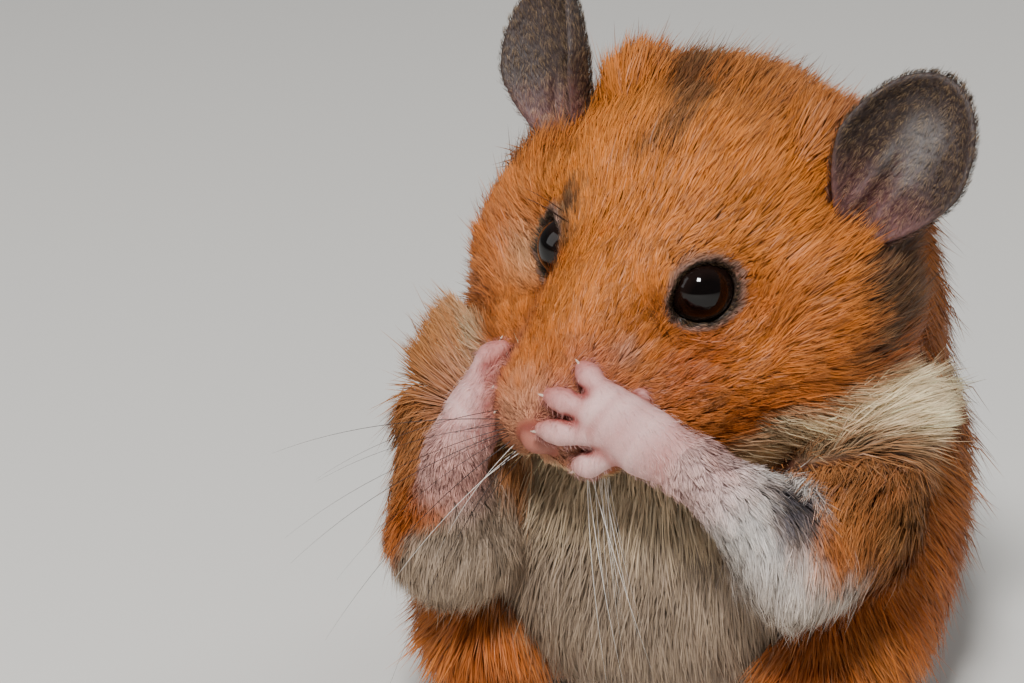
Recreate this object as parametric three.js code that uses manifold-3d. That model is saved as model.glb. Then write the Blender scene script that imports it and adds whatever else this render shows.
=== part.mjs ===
// A syrian hamster sitting up on its haunches and washing its face with both forepaws:
// a still, life-size display model, as in a museum case.
// Millimetres, +Z up. The animal faces -Y, its own left side is +X, and the floor is Z = 0.
// The solids follow the outline of the coat, and a hairline gap parts each from its neighbours.
import * as THREE from "three";
import { mergeVertices } from "three/addons/utils/BufferGeometryUtils.js";
import Module from "manifold-3d";

const wasm = await Module();
wasm.setup();

// ---- Driving dimensions ----
const GAP = 0.3; // hairline between neighbours
const COARSE_GAP = 0.3; // added where the room for a neighbour is cut with broader facets
const BODY_WIDTH = 54; // across the flanks, coat included
const BODY_DEPTH = 60; // from belly to back
const EYE_HEIGHT = 52; // of the point midway between the eyes
const EYES_FORWARD = 16; // that point, ahead of the middle of the body
const EYES_ASIDE = -2; // and to the animal's right, as the head is turned
const HEAD_TURN = -17; // degrees, to the animal's right
const HEAD_TILT = 4; // degrees, left ear down
const HEAD_NOD = 20; // degrees, nose down
const EYE_SPACING = 14.8; // between the middles of the eyeballs
const EYE_RADIUS = 3.3;
const EAR_LENGTH = 19;
const EAR_WIDTH = 13.2;
const EAR_THICK = 1.3;
const EAR_CUP = 3.6; // how far its rims stand forward of its middle
const FOOT_LENGTH = 18.5; // hind foot, heel to the longest toe
const TAIL_LENGTH = 14;

const SIDES = { left: 1, right: -1 };
const sideNames = Object.keys(SIDES);
const signs = Object.values(SIDES);
const radians = THREE.MathUtils.degToRad;
const vec = (x, y, z) => new THREE.Vector3(x, y, z);

// The head's own frame runs x left, y back, z up from midway between the eyes.
const headPlace = new THREE.Matrix4()
  .makeRotationZ(radians(HEAD_TURN))
  .multiply(new THREE.Matrix4().makeRotationY(radians(HEAD_TILT)))
  .multiply(new THREE.Matrix4().makeRotationX(radians(HEAD_NOD)))
  .setPosition(vec(EYES_ASIDE, -EYES_FORWARD, EYE_HEIGHT));
const fromHead = (x, y, z) => vec(x, y, z).applyMatrix4(headPlace);

// ---- Form making ----
// One rounded mass: its middle, its half sizes and its turn in degrees.
function mass(middle, half, turn = [0, 0, 0]) {
  const rotation = new THREE.Quaternion().setFromEuler(new THREE.Euler(...turn.map(radians), "ZYX"));
  return { middle: vec(...middle), half: vec(...half), back: rotation.invert() };
}

// About how far a point lies outside a rounded mass, negative inside it.
function outside(point, { middle, half, back }) {
  const local = point.clone().sub(middle).applyQuaternion(back).divide(half);
  const reach = local.length();
  const slope = local.divide(half).length();
  return slope > 1e-6 ? (reach * (reach - 1)) / slope : -half.x;
}

// The smaller of two distances, with the crease between them filled over a width.
function softMin(a, b, width) {
  const overlap = Math.max(width - Math.abs(a - b), 0) / width;
  return Math.min(a, b) - (overlap * overlap * width) / 4;
}

const HOLLOW_RIM = 2; // rounding of a hollow's edge

// Masses melted into one closed form: a ball whose every point is pushed out, along its own
// ray from the middle, to the surface of the melted masses. Hollows press dishes into it.
function melted(masses, middle, { detail, blend, grow = 0, reach = 70, hollows = [] }) {
  const ball = new THREE.IcosahedronGeometry(1, detail);
  const at = ball.getAttribute("position");
  const depth = (p) => {
    const full = masses.map((m) => outside(p, m)).reduce((a, b) => softMin(a, b, blend));
    return hollows.reduce((d, m) => -softMin(-d, outside(p, m), HOLLOW_RIM), full) - grow;
  };
  const ray = vec(0, 0, 0);
  const along = (t) => depth(ray.clone().multiplyScalar(t).add(middle));
  for (let i = 0; i < at.count; i++) {
    ray.fromBufferAttribute(at, i).normalize();
    let far = reach;
    while (far > 1 && along(far - 1) > 0) far -= 1;
    let near = far - 1;
    for (let step = 0; step < 14; step++) {
      const half = (near + far) / 2;
      if (along(half) > 0) far = half;
      else near = half;
    }
    ray.multiplyScalar(near).add(middle);
    at.setXYZ(i, ray.x, ray.y, ray.z);
  }
  return solid(ball);
}

// A round limb along a smooth curve, with its own half width at each point and round ends.
// flat squeezes it along the direction up.
function limb(points, widths, { around = 10, along = 8, flat = 1, up = vec(0, 0, 1), grow = 0 } = {}) {
  const curve = new THREE.CatmullRomCurve3(points, false, "centripetal");
  const tube = new THREE.SphereGeometry(1, around, along);
  const at = tube.getAttribute("position");
  const unit = vec(0, 0, 0);
  for (let i = 0; i < at.count; i++) {
    unit.fromBufferAttribute(at, i);
    const share = THREE.MathUtils.clamp((1 - unit.y) / 2, 0, 1);
    const span = share * (widths.length - 1);
    const first = Math.min(Math.floor(span), widths.length - 2);
    const width = THREE.MathUtils.lerp(widths[first], widths[first + 1], span - first) + grow;
    const end = Math.pow(Math.max(1 - Math.pow(Math.abs(unit.y), 3), 0), 1 / 3);
    const ring = Math.hypot(unit.x, unit.z) || 1;
    const forward = curve.getTangentAt(share);
    const side = forward.clone().cross(up).normalize();
    const top = side.clone().cross(forward);
    const point = curve
      .getPointAt(share)
      .addScaledVector(side, (unit.x / ring) * end * width)
      .addScaledVector(top, (-unit.z / ring) * end * width * flat)
      .addScaledVector(forward, share < 0.001 ? -grow : share > 0.999 ? grow : 0);
    at.setXYZ(i, point.x, point.y, point.z);
  }
  return solid(tube);
}

// ---- Joining and cutting ----
function solid(geometry, place = new THREE.Matrix4()) {
  const bare = new THREE.BufferGeometry();
  bare.setIndex(geometry.index);
  bare.setAttribute("position", geometry.getAttribute("position").clone());
  bare.applyMatrix4(place);
  const merged = mergeVertices(bare, 1e-4);
  const triVerts = new Uint32Array(merged.index.array);
  const vertProperties = merged.getAttribute("position").array;
  return new wasm.Manifold(new wasm.Mesh({ numProp: 3, vertProperties, triVerts }));
}

function geometryOf(manifold) {
  const { vertProperties, triVerts } = manifold.getMesh();
  const geometry = new THREE.BufferGeometry();
  geometry.setAttribute("position", new THREE.BufferAttribute(vertProperties, 3));
  geometry.setIndex(new THREE.BufferAttribute(triVerts, 1));
  geometry.computeVertexNormals();
  return geometry;
}

// What a cut leaves, without its crumbs.
function cutBy(form, ...others) {
  const left = others.reduce((rest, other) => rest.subtract(other), form);
  return left.decompose().sort((a, b) => b.volume() - a.volume())[0];
}
const joined = (forms) => forms.reduce((a, b) => a.add(b));
const inBody = (form) => form.transform(headPlace.elements.slice());
const block = (width, place) => solid(new THREE.BoxGeometry(width, width, width), place);
const belowFloor = block(300, new THREE.Matrix4().makeTranslation(0, 0, -150));

// ---- Trunk and neck ----
const halfWidth = BODY_WIDTH / 2;
const halfDepth = BODY_DEPTH / 2;
const TRUNK_MASSES = [
  mass([-0.5, 4, 23], [halfWidth - 1, halfDepth - 1.5, 23.5]), // belly and flanks
  mass([-0.5, 12, 24], [halfWidth - 3, halfDepth - 9, 24]), // rump and loins
  mass([-0.5, -4, 35], [halfWidth - 7, 17, 18]), // chest
  mass([0, 6, 43], [halfWidth - 4, 21, 19]), // shoulders and the hump of the back
];
const NECK_MASSES = [
  mass([-1, 3, 52], [20.5, 13.5, 12]), // nape
  mass([-1, -5, 42], [18.5, 13, 12]), // throat
];
const TORSO_DETAIL = 6;
const torso = (grow, detail) =>
  melted([...TRUNK_MASSES, ...NECK_MASSES], vec(0, 3, 30), { detail, blend: 8, grow });

// The collar where the neck leaves the trunk: a flat cut, leaning forward.
const COLLAR_AT = [0, 0, 51.5];
const COLLAR_LEAN = 40; // degrees
const COLLAR_TURN = -8; // degrees, following the head halfway
const beyondCollar = (shift) =>
  block(
    160,
    new THREE.Matrix4()
      .makeTranslation(...COLLAR_AT)
      .multiply(new THREE.Matrix4().makeRotationZ(radians(COLLAR_TURN)))
      .multiply(new THREE.Matrix4().makeRotationX(radians(COLLAR_LEAN)))
      .multiply(new THREE.Matrix4().makeTranslation(0, 0, 80 + shift)),
  );

// ---- Head, in its own frame ----
const HEAD_MASSES = [
  mass([0, 12, -0.4], [15.8, 16.5, 12.6]), // cranium
  mass([0, 19, 3.2], [14, 8, 8]), // back of the crown
  mass([0, 12, -7], [15.5, 14, 10.5]), // jaw and throat
  mass([0, -1, -2.8], [8.0, 12.5, 8.2]), // face
  mass([0, -9.5, -6.8], [7.4, 9.4, 6.2]), // muzzle
  mass([0, -8, -10.8], [4.4, 6.8, 3.4]), // chin
  ...signs.flatMap((side) => [
    mass([side * 3.6, -12.8, -8.8], [4.0, 4.9, 4.0]), // whisker pad
    mass([side * 12.9, 8.5, -7.6], [11.0, 13.5, 11.5]), // cheek
    mass([side * 8.2, -1.5, -9], [7.2, 10, 7.4]), // front of the cheek, beside the mouth
    mass([side * 14.2, 15.5, 2], [4.2, 4.6, 5.4]), // root of the ear
    mass([side * 11, 17, 5.7], [6, 6.5, 5.8]), // fur that stands before the ear
  ]),
];
// The dish in which each eyeball stands out, its bottom this far out from the eyeball's middle.
const ORBIT_DEPTH = 1.3;
const ORBIT_RADIUS = 4.6;
const EYE_LOOKS = vec(0.8, -0.56, 0.2).normalize();
const HOLLOWS = signs.flatMap((side) => {
  const orbit = EYE_LOOKS.clone().multiplyScalar(ORBIT_DEPTH + ORBIT_RADIUS);
  orbit.x += EYE_SPACING / 2;
  return [
    mass([side * orbit.x, orbit.y, orbit.z], [ORBIT_RADIUS, ORBIT_RADIUS, ORBIT_RADIUS]),
    mass([side * 19.4, 13.6, 5.0], [3.9, 3.9, 5.2]), // opening of the ear
  ];
});
const HEAD_DETAIL = 9;
const head = (grow, detail) =>
  melted(HEAD_MASSES, vec(0, 6, -2), { detail, blend: 4, grow, reach: 40, hollows: HOLLOWS });

function eye(side, grow = 0) {
  const ball = new THREE.SphereGeometry(EYE_RADIUS + grow, 11, 8);
  return solid(ball, new THREE.Matrix4().makeTranslation((side * EYE_SPACING) / 2, 0, 0));
}

const NOSE_AT = [0, -18.2, -7.8];
const nose = (grow = 0) =>
  melted([mass(NOSE_AT, [2.1, 1.5, 1.6])], vec(...NOSE_AT), { detail: 1, blend: 1, grow, reach: 6 });

// The longest bristles beside the nose. Each sets out forwards and aside, then sweeps back and
// sags. They are drawn thicker than hair, so that they hold as solids.
const WHISKER_WIDTHS = [0.3, 0.24, 0.14];
const WHISKER_SWEEP = 0.33; // backwards, as a share of the length
const WHISKER_SAG = 0.3; // downwards, as a share of the length
const WHISKER_ROW = 0.9; // from the root of one to the next, down the cheek
// In degrees: round the upright from the animal's left, and down from level.
const WHISKERS = {
  left: { root: [2.6, -14.6, -10.4], length: 19, fan: [[-50, 50], [-60, 62], [-70, 74]] },
  right: { root: [-3.2, -16.8, -7.4], length: 27, fan: [[-152, -6], [-140, 12], [-136, 28], [-132, 46]] },
};
function whiskers(name) {
  const { root, length, fan } = WHISKERS[name];
  return fan.map(([round, down], i) => {
    const start = fromHead(root[0], root[1], root[2] - i * WHISKER_ROW);
    const heading = vec(length, 0, 0).applyEuler(
      new THREE.Euler(0, radians(down), radians(round), "ZYX"),
    );
    const spots = [0, 0.35, 0.7, 1].map((share) =>
      start
        .clone()
        .addScaledVector(heading, share)
        .add(vec(0, WHISKER_SWEEP, -WHISKER_SAG).multiplyScalar(length * share * share)),
    );
    return limb(spots, WHISKER_WIDTHS, { around: 4, along: 5 });
  });
}

// An ear: a ball flattened into a shell, drawn out along its length, narrowed at its root
// and cupped towards its opening.
const EAR_ROOT = vec(17.3, 12.9, 1.2);
const EAR_ALONG = vec(0.36, 0.5, 0.79).normalize();
const EAR_OPENS = vec(0.27, -0.93, 0.2).projectOnPlane(EAR_ALONG).normalize();
const EAR_ACROSS = EAR_ALONG.clone().cross(EAR_OPENS);
function ear(side) {
  const shell = new THREE.SphereGeometry(1, 13, 9);
  const at = shell.getAttribute("position");
  const unit = vec(0, 0, 0);
  for (let i = 0; i < at.count; i++) {
    unit.fromBufferAttribute(at, i);
    const share = (unit.y + 1) / 2; // 0 at the root, 1 at the tip
    const width = (EAR_WIDTH / 2) * (0.62 + 0.38 * Math.min(share * 1.9, 1));
    const cup = EAR_CUP * (unit.x * unit.x - 0.5) + 2.2 * (0.5 - share) ** 2;
    const thick = (EAR_THICK / 2) * Math.sign(unit.z) * Math.pow(Math.abs(unit.z), 0.5);
    const point = EAR_ROOT.clone()
      .addScaledVector(EAR_ALONG, share * EAR_LENGTH - 2)
      .addScaledVector(EAR_ACROSS, unit.x * width)
      .addScaledVector(EAR_OPENS, cup + thick * (1 + 1.6 * (1 - share)));
    at.setXYZ(i, point.x, point.y, point.z);
  }
  const form = solid(shell);
  return side > 0 ? form : form.mirror([1, 0, 0]);
}

// ---- Forelegs ----
const SHOULDER = { left: vec(18.5, -10, 35), right: vec(-16.5, -8, 38) };
const UPPER_ARM_MIDDLE = { left: vec(19.5, -18, 31), right: vec(-18.2, -15, 33.5) };
const ELBOW = { left: vec(17.2, -25.5, 29.7), right: vec(-17.8, -23.2, 25.2) };
const WRIST = { left: vec(8.6, -30.4, 38.2), right: vec(-16.2, -27.8, 35.2) };
const upperArm = (name, grow = 0) =>
  limb([SHOULDER[name], UPPER_ARM_MIDDLE[name], ELBOW[name]], [8, 8.6, 6.9], { around: 12, grow });
const forearm = (name, grow = 0) => {
  const middle = ELBOW[name].clone().lerp(WRIST[name], 0.5);
  return limb([ELBOW[name], middle, WRIST[name]], [5.8, 4.8, 2.8], { grow });
};

// A hand: a palm and four fingers, each bowed from its knuckle to its tip, with the stub of the
// thumb. The points are in the head's frame, as the hands lie on the muzzle.
const MUZZLE_HEART = [0, -9, -7];
const HANDS = {
  left: {
    palm: [9.4, -15.4, -5.6],
    knuckles: [[6.4, -14.8, -2.4], [6.7, -15.8, -3.3], [7.1, -16.6, -4.8], [7.6, -16.6, -6.9]],
    tips: [[3.8, -14.1, -0.7], [1.8, -17.0, -2.5], [1.8, -18.9, -5.1], [5.0, -18.4, -8.6]],
    thumb: [8.6, -12.4, -3.7],
  },
  right: {
    palm: [-8.9, -16.2, -8.8],
    knuckles: [[-8.3, -14.4, -5.8], [-7.9, -14.8, -7.2], [-7.6, -15.8, -8.8], [-7.8, -16.8, -10.2]],
    tips: [[-7.4, -12.4, -3.4], [-6.6, -13.0, -4.6], [-6.2, -15.6, -6.0], [-5.6, -16.8, -7.6]],
    thumb: [-9.6, -12.6, -7.2],
  },
};
const FINGER_WIDTHS = [1.1, 1.05, 0.75];
const FINGER_BOW = 0.9;
function hand(name) {
  const { palm, knuckles, tips, thumb } = HANDS[name];
  const middle = fromHead(...palm);
  const heart = fromHead(...MUZZLE_HEART);
  const wrist = WRIST[name].clone().lerp(middle, 0.12);
  const front = middle.clone().lerp(fromHead(...knuckles[1]), 0.8);
  const pad = limb([wrist, wrist.clone().lerp(middle, 0.7), front], [2.4, 3.2, 2.9], {
    flat: 0.72,
    up: middle.clone().sub(heart).normalize(),
  });
  const fingers = knuckles.map((knuckle, i) => {
    const from = fromHead(...knuckle);
    const tip = fromHead(...tips[i]);
    const away = from.clone().sub(heart).setLength(FINGER_BOW);
    const joint = from.clone().lerp(tip, 0.55).add(away);
    return limb([from.clone().lerp(middle, 0.35), joint, tip], FINGER_WIDTHS, { around: 6, along: 5 });
  });
  const stub = limb([middle, fromHead(...thumb)], [1.2, 0.9], { around: 6, along: 4 });
  return joined([pad, ...fingers, stub]);
}

// ---- Hind legs ----
const thigh = (side) =>
  melted(
    [
      mass([side * 17.2, 0, 17.5], [9.6, 17, 15], [0, 0, side * 6]), // haunch
      mass([side * 17.2, -13, 12], [8.0, 10, 9.5]), // knee
    ],
    vec(side * 18, -3, 16),
    { detail: 4, blend: 6, reach: 40 },
  );

const HEEL = [16.5, -13.5, 2.6];
const FOOT_SPLAY = 12; // degrees outwards
const SOLE_LENGTH = FOOT_LENGTH * 0.62;
const TOES = [
  { aside: -4.2, short: 3.6 },
  { aside: -2.2, short: 0.9 },
  { aside: 0, short: 0 },
  { aside: 2.1, short: 0.7 },
  { aside: 4.0, short: 3.2 },
]; // from the inner toe: across the foot, and short of the longest
const TOE_WIDTHS = [1.25, 1.15, 0.85];
function footSpot(side, reach, aside, up) {
  const splay = radians(side * FOOT_SPLAY);
  return vec(HEEL[0] * side, HEEL[1], 0)
    .addScaledVector(vec(Math.sin(splay), -Math.cos(splay), 0), reach)
    .addScaledVector(vec(Math.cos(splay), Math.sin(splay), 0), aside * side)
    .setZ(up);
}
function sole(side, grow = 0) {
  const spots = [
    footSpot(side, 0, 0, 2.4),
    footSpot(side, SOLE_LENGTH / 2, 0, 2.2),
    footSpot(side, SOLE_LENGTH, 0, 1.5),
  ];
  return limb(spots, [2.6, 3.1, 3.5], { along: 6, flat: 0.72, grow });
}
function foot(side) {
  const toes = TOES.map(({ aside, short }) => {
    const reach = FOOT_LENGTH - 1 - short;
    const spots = [
      footSpot(side, SOLE_LENGTH - 1.5, aside * 0.62, 1.5),
      footSpot(side, (SOLE_LENGTH + reach) / 2, aside * 0.9, 1.9),
      footSpot(side, reach, aside * 1.12, 0.8),
    ];
    return limb(spots, TOE_WIDTHS, { around: 6, along: 4 });
  });
  return joined([sole(side), ...toes]).subtract(belowFloor);
}

// ---- Tail ----
const TAIL_ROOT_Y = 27;
const tail = () => {
  const points = [vec(1, TAIL_ROOT_Y, 6.5), vec(2, 33, 4.4), vec(3.5, TAIL_ROOT_Y + TAIL_LENGTH, 1.7)];
  return limb(points, [3.4, 2.6, 1.2], { around: 8, along: 7 }).subtract(belowFloor);
};

// ---- Finishes ----
const finish = (color, roughness) => new THREE.MeshStandardMaterial({ color, roughness, metalness: 0 });
const goldenCoat = finish(0xb8692f, 0.85);
const paleCoat = finish(0xcfc3b4, 0.85);
const earSkin = finish(0x4b403c, 0.7);
const bareSkin = finish(0xcf9a94, 0.55);
const wetEye = finish(0x0b0807, 0.05);

function add(group, name, manifold, material) {
  const mesh = new THREE.Mesh(geometryOf(manifold), material);
  mesh.name = name;
  group.add(mesh);
}

// ---- Assembly ----
const hamster = new THREE.Group();
const eyeSockets = signs.map((side) => eye(side, GAP));
const headRoom = inBody(head(GAP, HEAD_DETAIL));
const broadHeadRoom = inBody(head(GAP + COARSE_GAP, 5));
const torsoRoom = torso(GAP, TORSO_DETAIL);
const bareHead = inBody(cutBy(head(0, HEAD_DETAIL), ...eyeSockets, nose(GAP)));
add(hamster, "head", joined([bareHead, ...sideNames.flatMap(whiskers)]), goldenCoat);
add(hamster, "nose", inBody(nose()), bareSkin);
for (const name of sideNames) {
  add(hamster, `eye_${name}`, inBody(eye(SIDES[name])), wetEye);
  add(hamster, `ear_${name}`, cutBy(inBody(ear(SIDES[name])), headRoom, torsoRoom), earSkin);
}

const torsoRest = torso(0, TORSO_DETAIL).subtract(broadHeadRoom);
add(hamster, "neck", cutBy(torsoRest.intersect(beyondCollar(GAP / 2))), goldenCoat);
add(hamster, "trunk", cutBy(torsoRest, beyondCollar(-GAP / 2), belowFloor), goldenCoat);
add(hamster, "tail", cutBy(tail(), torsoRoom), bareSkin);

for (const name of sideNames) {
  const side = SIDES[name];
  const armRoom = joined([upperArm(name, GAP), forearm(name, GAP)]);
  const legRoom = joined([torsoRoom, armRoom, sole(side, GAP), belowFloor]);
  add(hamster, `thigh_${name}`, cutBy(thigh(side), legRoom), goldenCoat);
  add(hamster, `hind_foot_${name}`, foot(side), bareSkin);
  add(hamster, `upper_arm_${name}`, cutBy(upperArm(name), torsoRoom, broadHeadRoom), goldenCoat);
  add(hamster, `forearm_${name}`, cutBy(forearm(name), upperArm(name, GAP), broadHeadRoom), paleCoat);
  add(hamster, `hand_${name}`, cutBy(hand(name), headRoom, armRoom), bareSkin);
}

// The origin is the middle of the footprint, on the floor.
const box = new THREE.Box3().setFromObject(hamster, true);
const middle = box.getCenter(vec(0, 0, 0));
hamster.position.set(-middle.x, -middle.y, -box.min.z);
const display = new THREE.Group();
display.add(hamster);

export default display;
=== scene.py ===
# %% [markdown]
# # A syrian hamster washing its face
#
# A golden hamster sits up on its haunches and rubs its muzzle with both forepaws. It is a still,
# life-size model, so nothing on it moves: one body carries every piece.
#
# The lesson goes from the inside out, as a taxidermist works. First comes one closed skin over the
# whole animal, then the eyes, claws and whiskers that are set into it, then the coat that lies on
# it, and last the finishes, the floor, the lights and the camera. Shapes are worked out in
# millimetres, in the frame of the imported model, and turned to metres when a mesh is made.

import math
from concurrent.futures import ThreadPoolExecutor
import bpy
import bmesh
import numpy as np
import openvdb
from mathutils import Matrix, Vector


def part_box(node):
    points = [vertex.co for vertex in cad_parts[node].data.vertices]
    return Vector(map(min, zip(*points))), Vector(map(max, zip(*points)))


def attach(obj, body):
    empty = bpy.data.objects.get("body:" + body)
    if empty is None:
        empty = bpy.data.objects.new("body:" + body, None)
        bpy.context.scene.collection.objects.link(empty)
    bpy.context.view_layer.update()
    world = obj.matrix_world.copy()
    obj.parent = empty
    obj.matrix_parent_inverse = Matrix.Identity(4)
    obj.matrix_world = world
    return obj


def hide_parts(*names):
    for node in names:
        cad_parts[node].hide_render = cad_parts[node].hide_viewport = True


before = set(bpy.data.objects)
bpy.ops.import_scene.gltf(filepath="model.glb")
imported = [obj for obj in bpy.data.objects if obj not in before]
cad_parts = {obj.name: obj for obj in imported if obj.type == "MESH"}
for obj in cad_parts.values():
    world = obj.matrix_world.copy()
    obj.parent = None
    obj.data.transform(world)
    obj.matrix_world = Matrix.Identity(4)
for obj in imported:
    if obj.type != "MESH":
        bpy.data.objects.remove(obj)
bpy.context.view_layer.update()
METRES = 0.001


def middle_of(node):
    low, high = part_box(node)
    return np.array((low + high) / 2) / METRES


# The animal is drawn from the middle of its seat. The eyeballs say where that is in the frame.
EYES_MIDDLE = np.array([-2.0, -16.0, 52.0])
SHIFT = (middle_of("eye_left") + middle_of("eye_right")) / 2 - EYES_MIDDLE
print("nodes", sorted(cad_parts), "shift in mm", SHIFT.round(2))

# %% [markdown]
# ## The camera
#
# The camera stands low and to the animal's left, close to a third of a metre away, with a long lens
# as in portraits of small animals.
# Its place is worked out from the point between the eyes, so it follows the head if that moves.

# %% The camera
CAMERA_TURN = math.radians(20)  # round the animal, towards its left side
CAMERA_RISE = math.radians(20)  # above the horizon
CAMERA_AWAY = 330.0  # mm, to the point between the eyes
SENSOR = 36.0  # mm
LENS = 121.8  # mm
EYES_ACROSS = 123 / 1024 * SENSOR / LENS  # right of the picture's middle, as a slope
EYES_ABOVE = 74.5 / 1024 * SENSOR / LENS

towards = np.array([
    math.sin(CAMERA_TURN) * math.cos(CAMERA_RISE),
    -math.cos(CAMERA_TURN) * math.cos(CAMERA_RISE),
    math.sin(CAMERA_RISE),
])
rightward = np.array([math.cos(CAMERA_TURN), math.sin(CAMERA_TURN), 0.0])
upward = np.cross(towards, rightward)
aim = EYES_MIDDLE + SHIFT - (rightward * EYES_ACROSS + upward * EYES_ABOVE) * CAMERA_AWAY
camera = bpy.data.objects.new("camera", bpy.data.cameras.new("camera"))
camera.data.lens = LENS
camera.data.sensor_width = SENSOR
camera.data.clip_start = 0.01
camera.location = Vector((aim + towards * CAMERA_AWAY) * METRES)
camera.rotation_euler = Vector(towards).to_track_quat("Z", "Y").to_euler()
bpy.context.scene.collection.objects.link(camera)
bpy.context.scene.camera = camera
print("camera at", [round(c, 4) for c in camera.location])

# %% [markdown]
# ## A form as a distance
#
# Flesh has no corners: the cheek runs into the neck and the finger into the palm. It could be
# modelled with metaballs, or sculpted and remeshed. Here every form is a function that says how
# far a point is outside it, negative inside. Such distances blend by a soft minimum, take hollows
# by a soft maximum, and give a smooth direction everywhere, which the coat needs as well.

# %% Rounded masses, limbs and soft joins
def length_of(vectors):
    return np.sqrt((vectors * vectors).sum(-1))


def unit(vectors):
    return vectors / np.maximum(length_of(vectors)[..., None], 1e-9)


def soft_min(a, b, width):
    overlap = np.maximum(width - np.abs(a - b), 0) / width
    return np.minimum(a, b) - overlap * overlap * width / 4


def soft_max(a, b, width):
    return -soft_min(-a, -b, width)


def smooth(low, high, value):
    share = np.clip((value - low) / (high - low), 0, 1)
    return share * share * (3 - 2 * share)


def mixed(base, colour, share):
    return base + (colour - base) * np.clip(share, 0, 1)[:, None]


def rounded_mass(points, middle, half, turn=0.0):
    """Distance outside an ellipsoid, turned by some degrees about the upright."""
    local = points - np.asarray(middle, points.dtype)
    if turn:
        c, s = math.cos(math.radians(turn)), math.sin(math.radians(turn))
        x, y = local[:, 0], local[:, 1]
        local = np.stack([c * x + s * y, c * y - s * x, local[:, 2]], 1)
    local = local / np.asarray(half, points.dtype)
    reach = length_of(local)
    slope = length_of(local / np.asarray(half, points.dtype))
    return reach * (reach - 1) / np.maximum(slope, 1e-4)


def melted(points, masses, blend):
    total = rounded_mass(points, *masses[0])
    for mass in masses[1:]:
        total = soft_min(total, rounded_mass(points, *mass), blend)
    return total


def limb(points, spine, widths, blend=0.0):
    """Distance outside a round limb along a bent spine, with its own half width at each point."""
    total = None
    for (a, b), (wide, narrow) in zip(zip(spine, spine[1:]), zip(widths, widths[1:])):
        a, b = np.asarray(a, points.dtype), np.asarray(b, points.dtype)
        along = b - a
        share = np.clip(((points - a) @ along) / (along @ along), 0, 1)
        part = length_of(points - a - share[:, None] * along) - (wide + (narrow - wide) * share)
        if total is None:
            total = part
        else:
            total = soft_min(total, part, blend) if blend else np.minimum(total, part)
    return total


def bowed(points, steps=3):
    """A smooth curve through three or more points, as a longer list of points."""
    p = [np.asarray(q, float) for q in points]
    p = [2 * p[0] - p[1]] + p + [2 * p[-1] - p[-2]]
    curve = []
    for i in range(1, len(p) - 2):
        for t in np.arange(steps) / steps:
            curve.append(0.5 * (2 * p[i] + (p[i + 1] - p[i - 1]) * t
                                + (2 * p[i - 1] - 5 * p[i] + 4 * p[i + 1] - p[i + 2]) * t * t
                                + (3 * p[i] - p[i - 1] - 3 * p[i + 1] + p[i + 2]) * t ** 3))
    return curve + [p[-2]]


def spread(values, count):
    """Values spread evenly over a longer list."""
    return np.interp(np.linspace(0, 1, count), np.linspace(0, 1, len(values)), values)


print("soft minimum of 1 and 1 over a width of 2:", soft_min(np.float64(1), np.float64(1), 2))

# %% [markdown]
# ## Torso and head
#
# A sitting hamster is a pear: a wide rump, a hump of shoulders and a neck hidden in loose skin. The
# head is a wedge, with cheeks as wide as the skull, because the cheek pouches lie under them. These
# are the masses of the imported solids, melted in the same way, so skin and solids agree everywhere.
# The head is drawn in its own frame, x to its left, y back and z up from between the eyes.

# %% Torso and head
TORSO = [
    ([-0.5, 4, 23], [26, 28.5, 23.5]),  # belly and flanks
    ([-0.5, 12, 24], [24, 21, 24]),  # rump and loins
    ([-0.5, -4, 35], [20, 17, 18]),  # chest
    ([0, 6, 43], [23, 21, 19]),  # shoulders and the hump of the back
    ([-1, 3, 52], [20.5, 13.5, 12]),  # nape
    ([-1, -5, 42], [18.5, 13, 12]),  # throat
]
SIDES = {"left": 1, "right": -1}
SKULL = [
    ([0, 12, -0.4], [15.8, 16.5, 12.6]),  # cranium
    ([0, 19, 3.2], [14, 8, 8]),  # back of the crown
    ([0, 12, -7], [15.5, 14, 10.5]),  # jaw and throat
    ([0, -1, -2.8], [8.0, 12.5, 8.2]),  # face
    ([0, -9.5, -6.8], [7.4, 9.4, 6.2]),  # muzzle
    ([0, -8, -10.8], [4.4, 6.8, 3.4]),  # chin
]
for side in SIDES.values():
    SKULL += [
        ([side * 3.6, -12.8, -8.8], [4.0, 4.9, 4.0]),  # whisker pad
        ([side * 12.9, 8.5, -7.6], [11.0, 13.5, 11.5]),  # cheek
        ([side * 8.2, -1.5, -9], [7.2, 10, 7.4]),  # front of the cheek, beside the mouth
        ([side * 14.2, 15.5, 2], [4.2, 4.6, 5.4]),  # root of the ear
        ([side * 11, 17, 5.7], [6, 6.5, 5.8]),  # fur that stands before the ear
    ]
THIGHS = {
    name: [([s * 17.2, 0, 17.5], [9.6, 17, 15], s * 6), ([s * 17.2, -13, 12], [8.0, 10, 9.5])]
    for name, s in SIDES.items()
}


def turned(axis, degrees):
    c, s = math.cos(math.radians(degrees)), math.sin(math.radians(degrees))
    i, j = {"x": (1, 2), "y": (2, 0), "z": (0, 1)}[axis]
    matrix = np.eye(3)
    matrix[i, i] = matrix[j, j] = c
    matrix[j, i], matrix[i, j] = s, -s
    return matrix


HEAD_TURN = turned("z", -17) @ turned("y", 4) @ turned("x", 20)  # to its right, tilted, nose down


def into_head(points):
    return (points - EYES_MIDDLE.astype(points.dtype)) @ HEAD_TURN.astype(points.dtype)


def out_of_head(points):
    return np.asarray(points, float) @ HEAD_TURN.T + EYES_MIDDLE


print("nose tip in the frame, mm:", (out_of_head([0, -19.7, -7.8]) + SHIFT).round(1))

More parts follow.
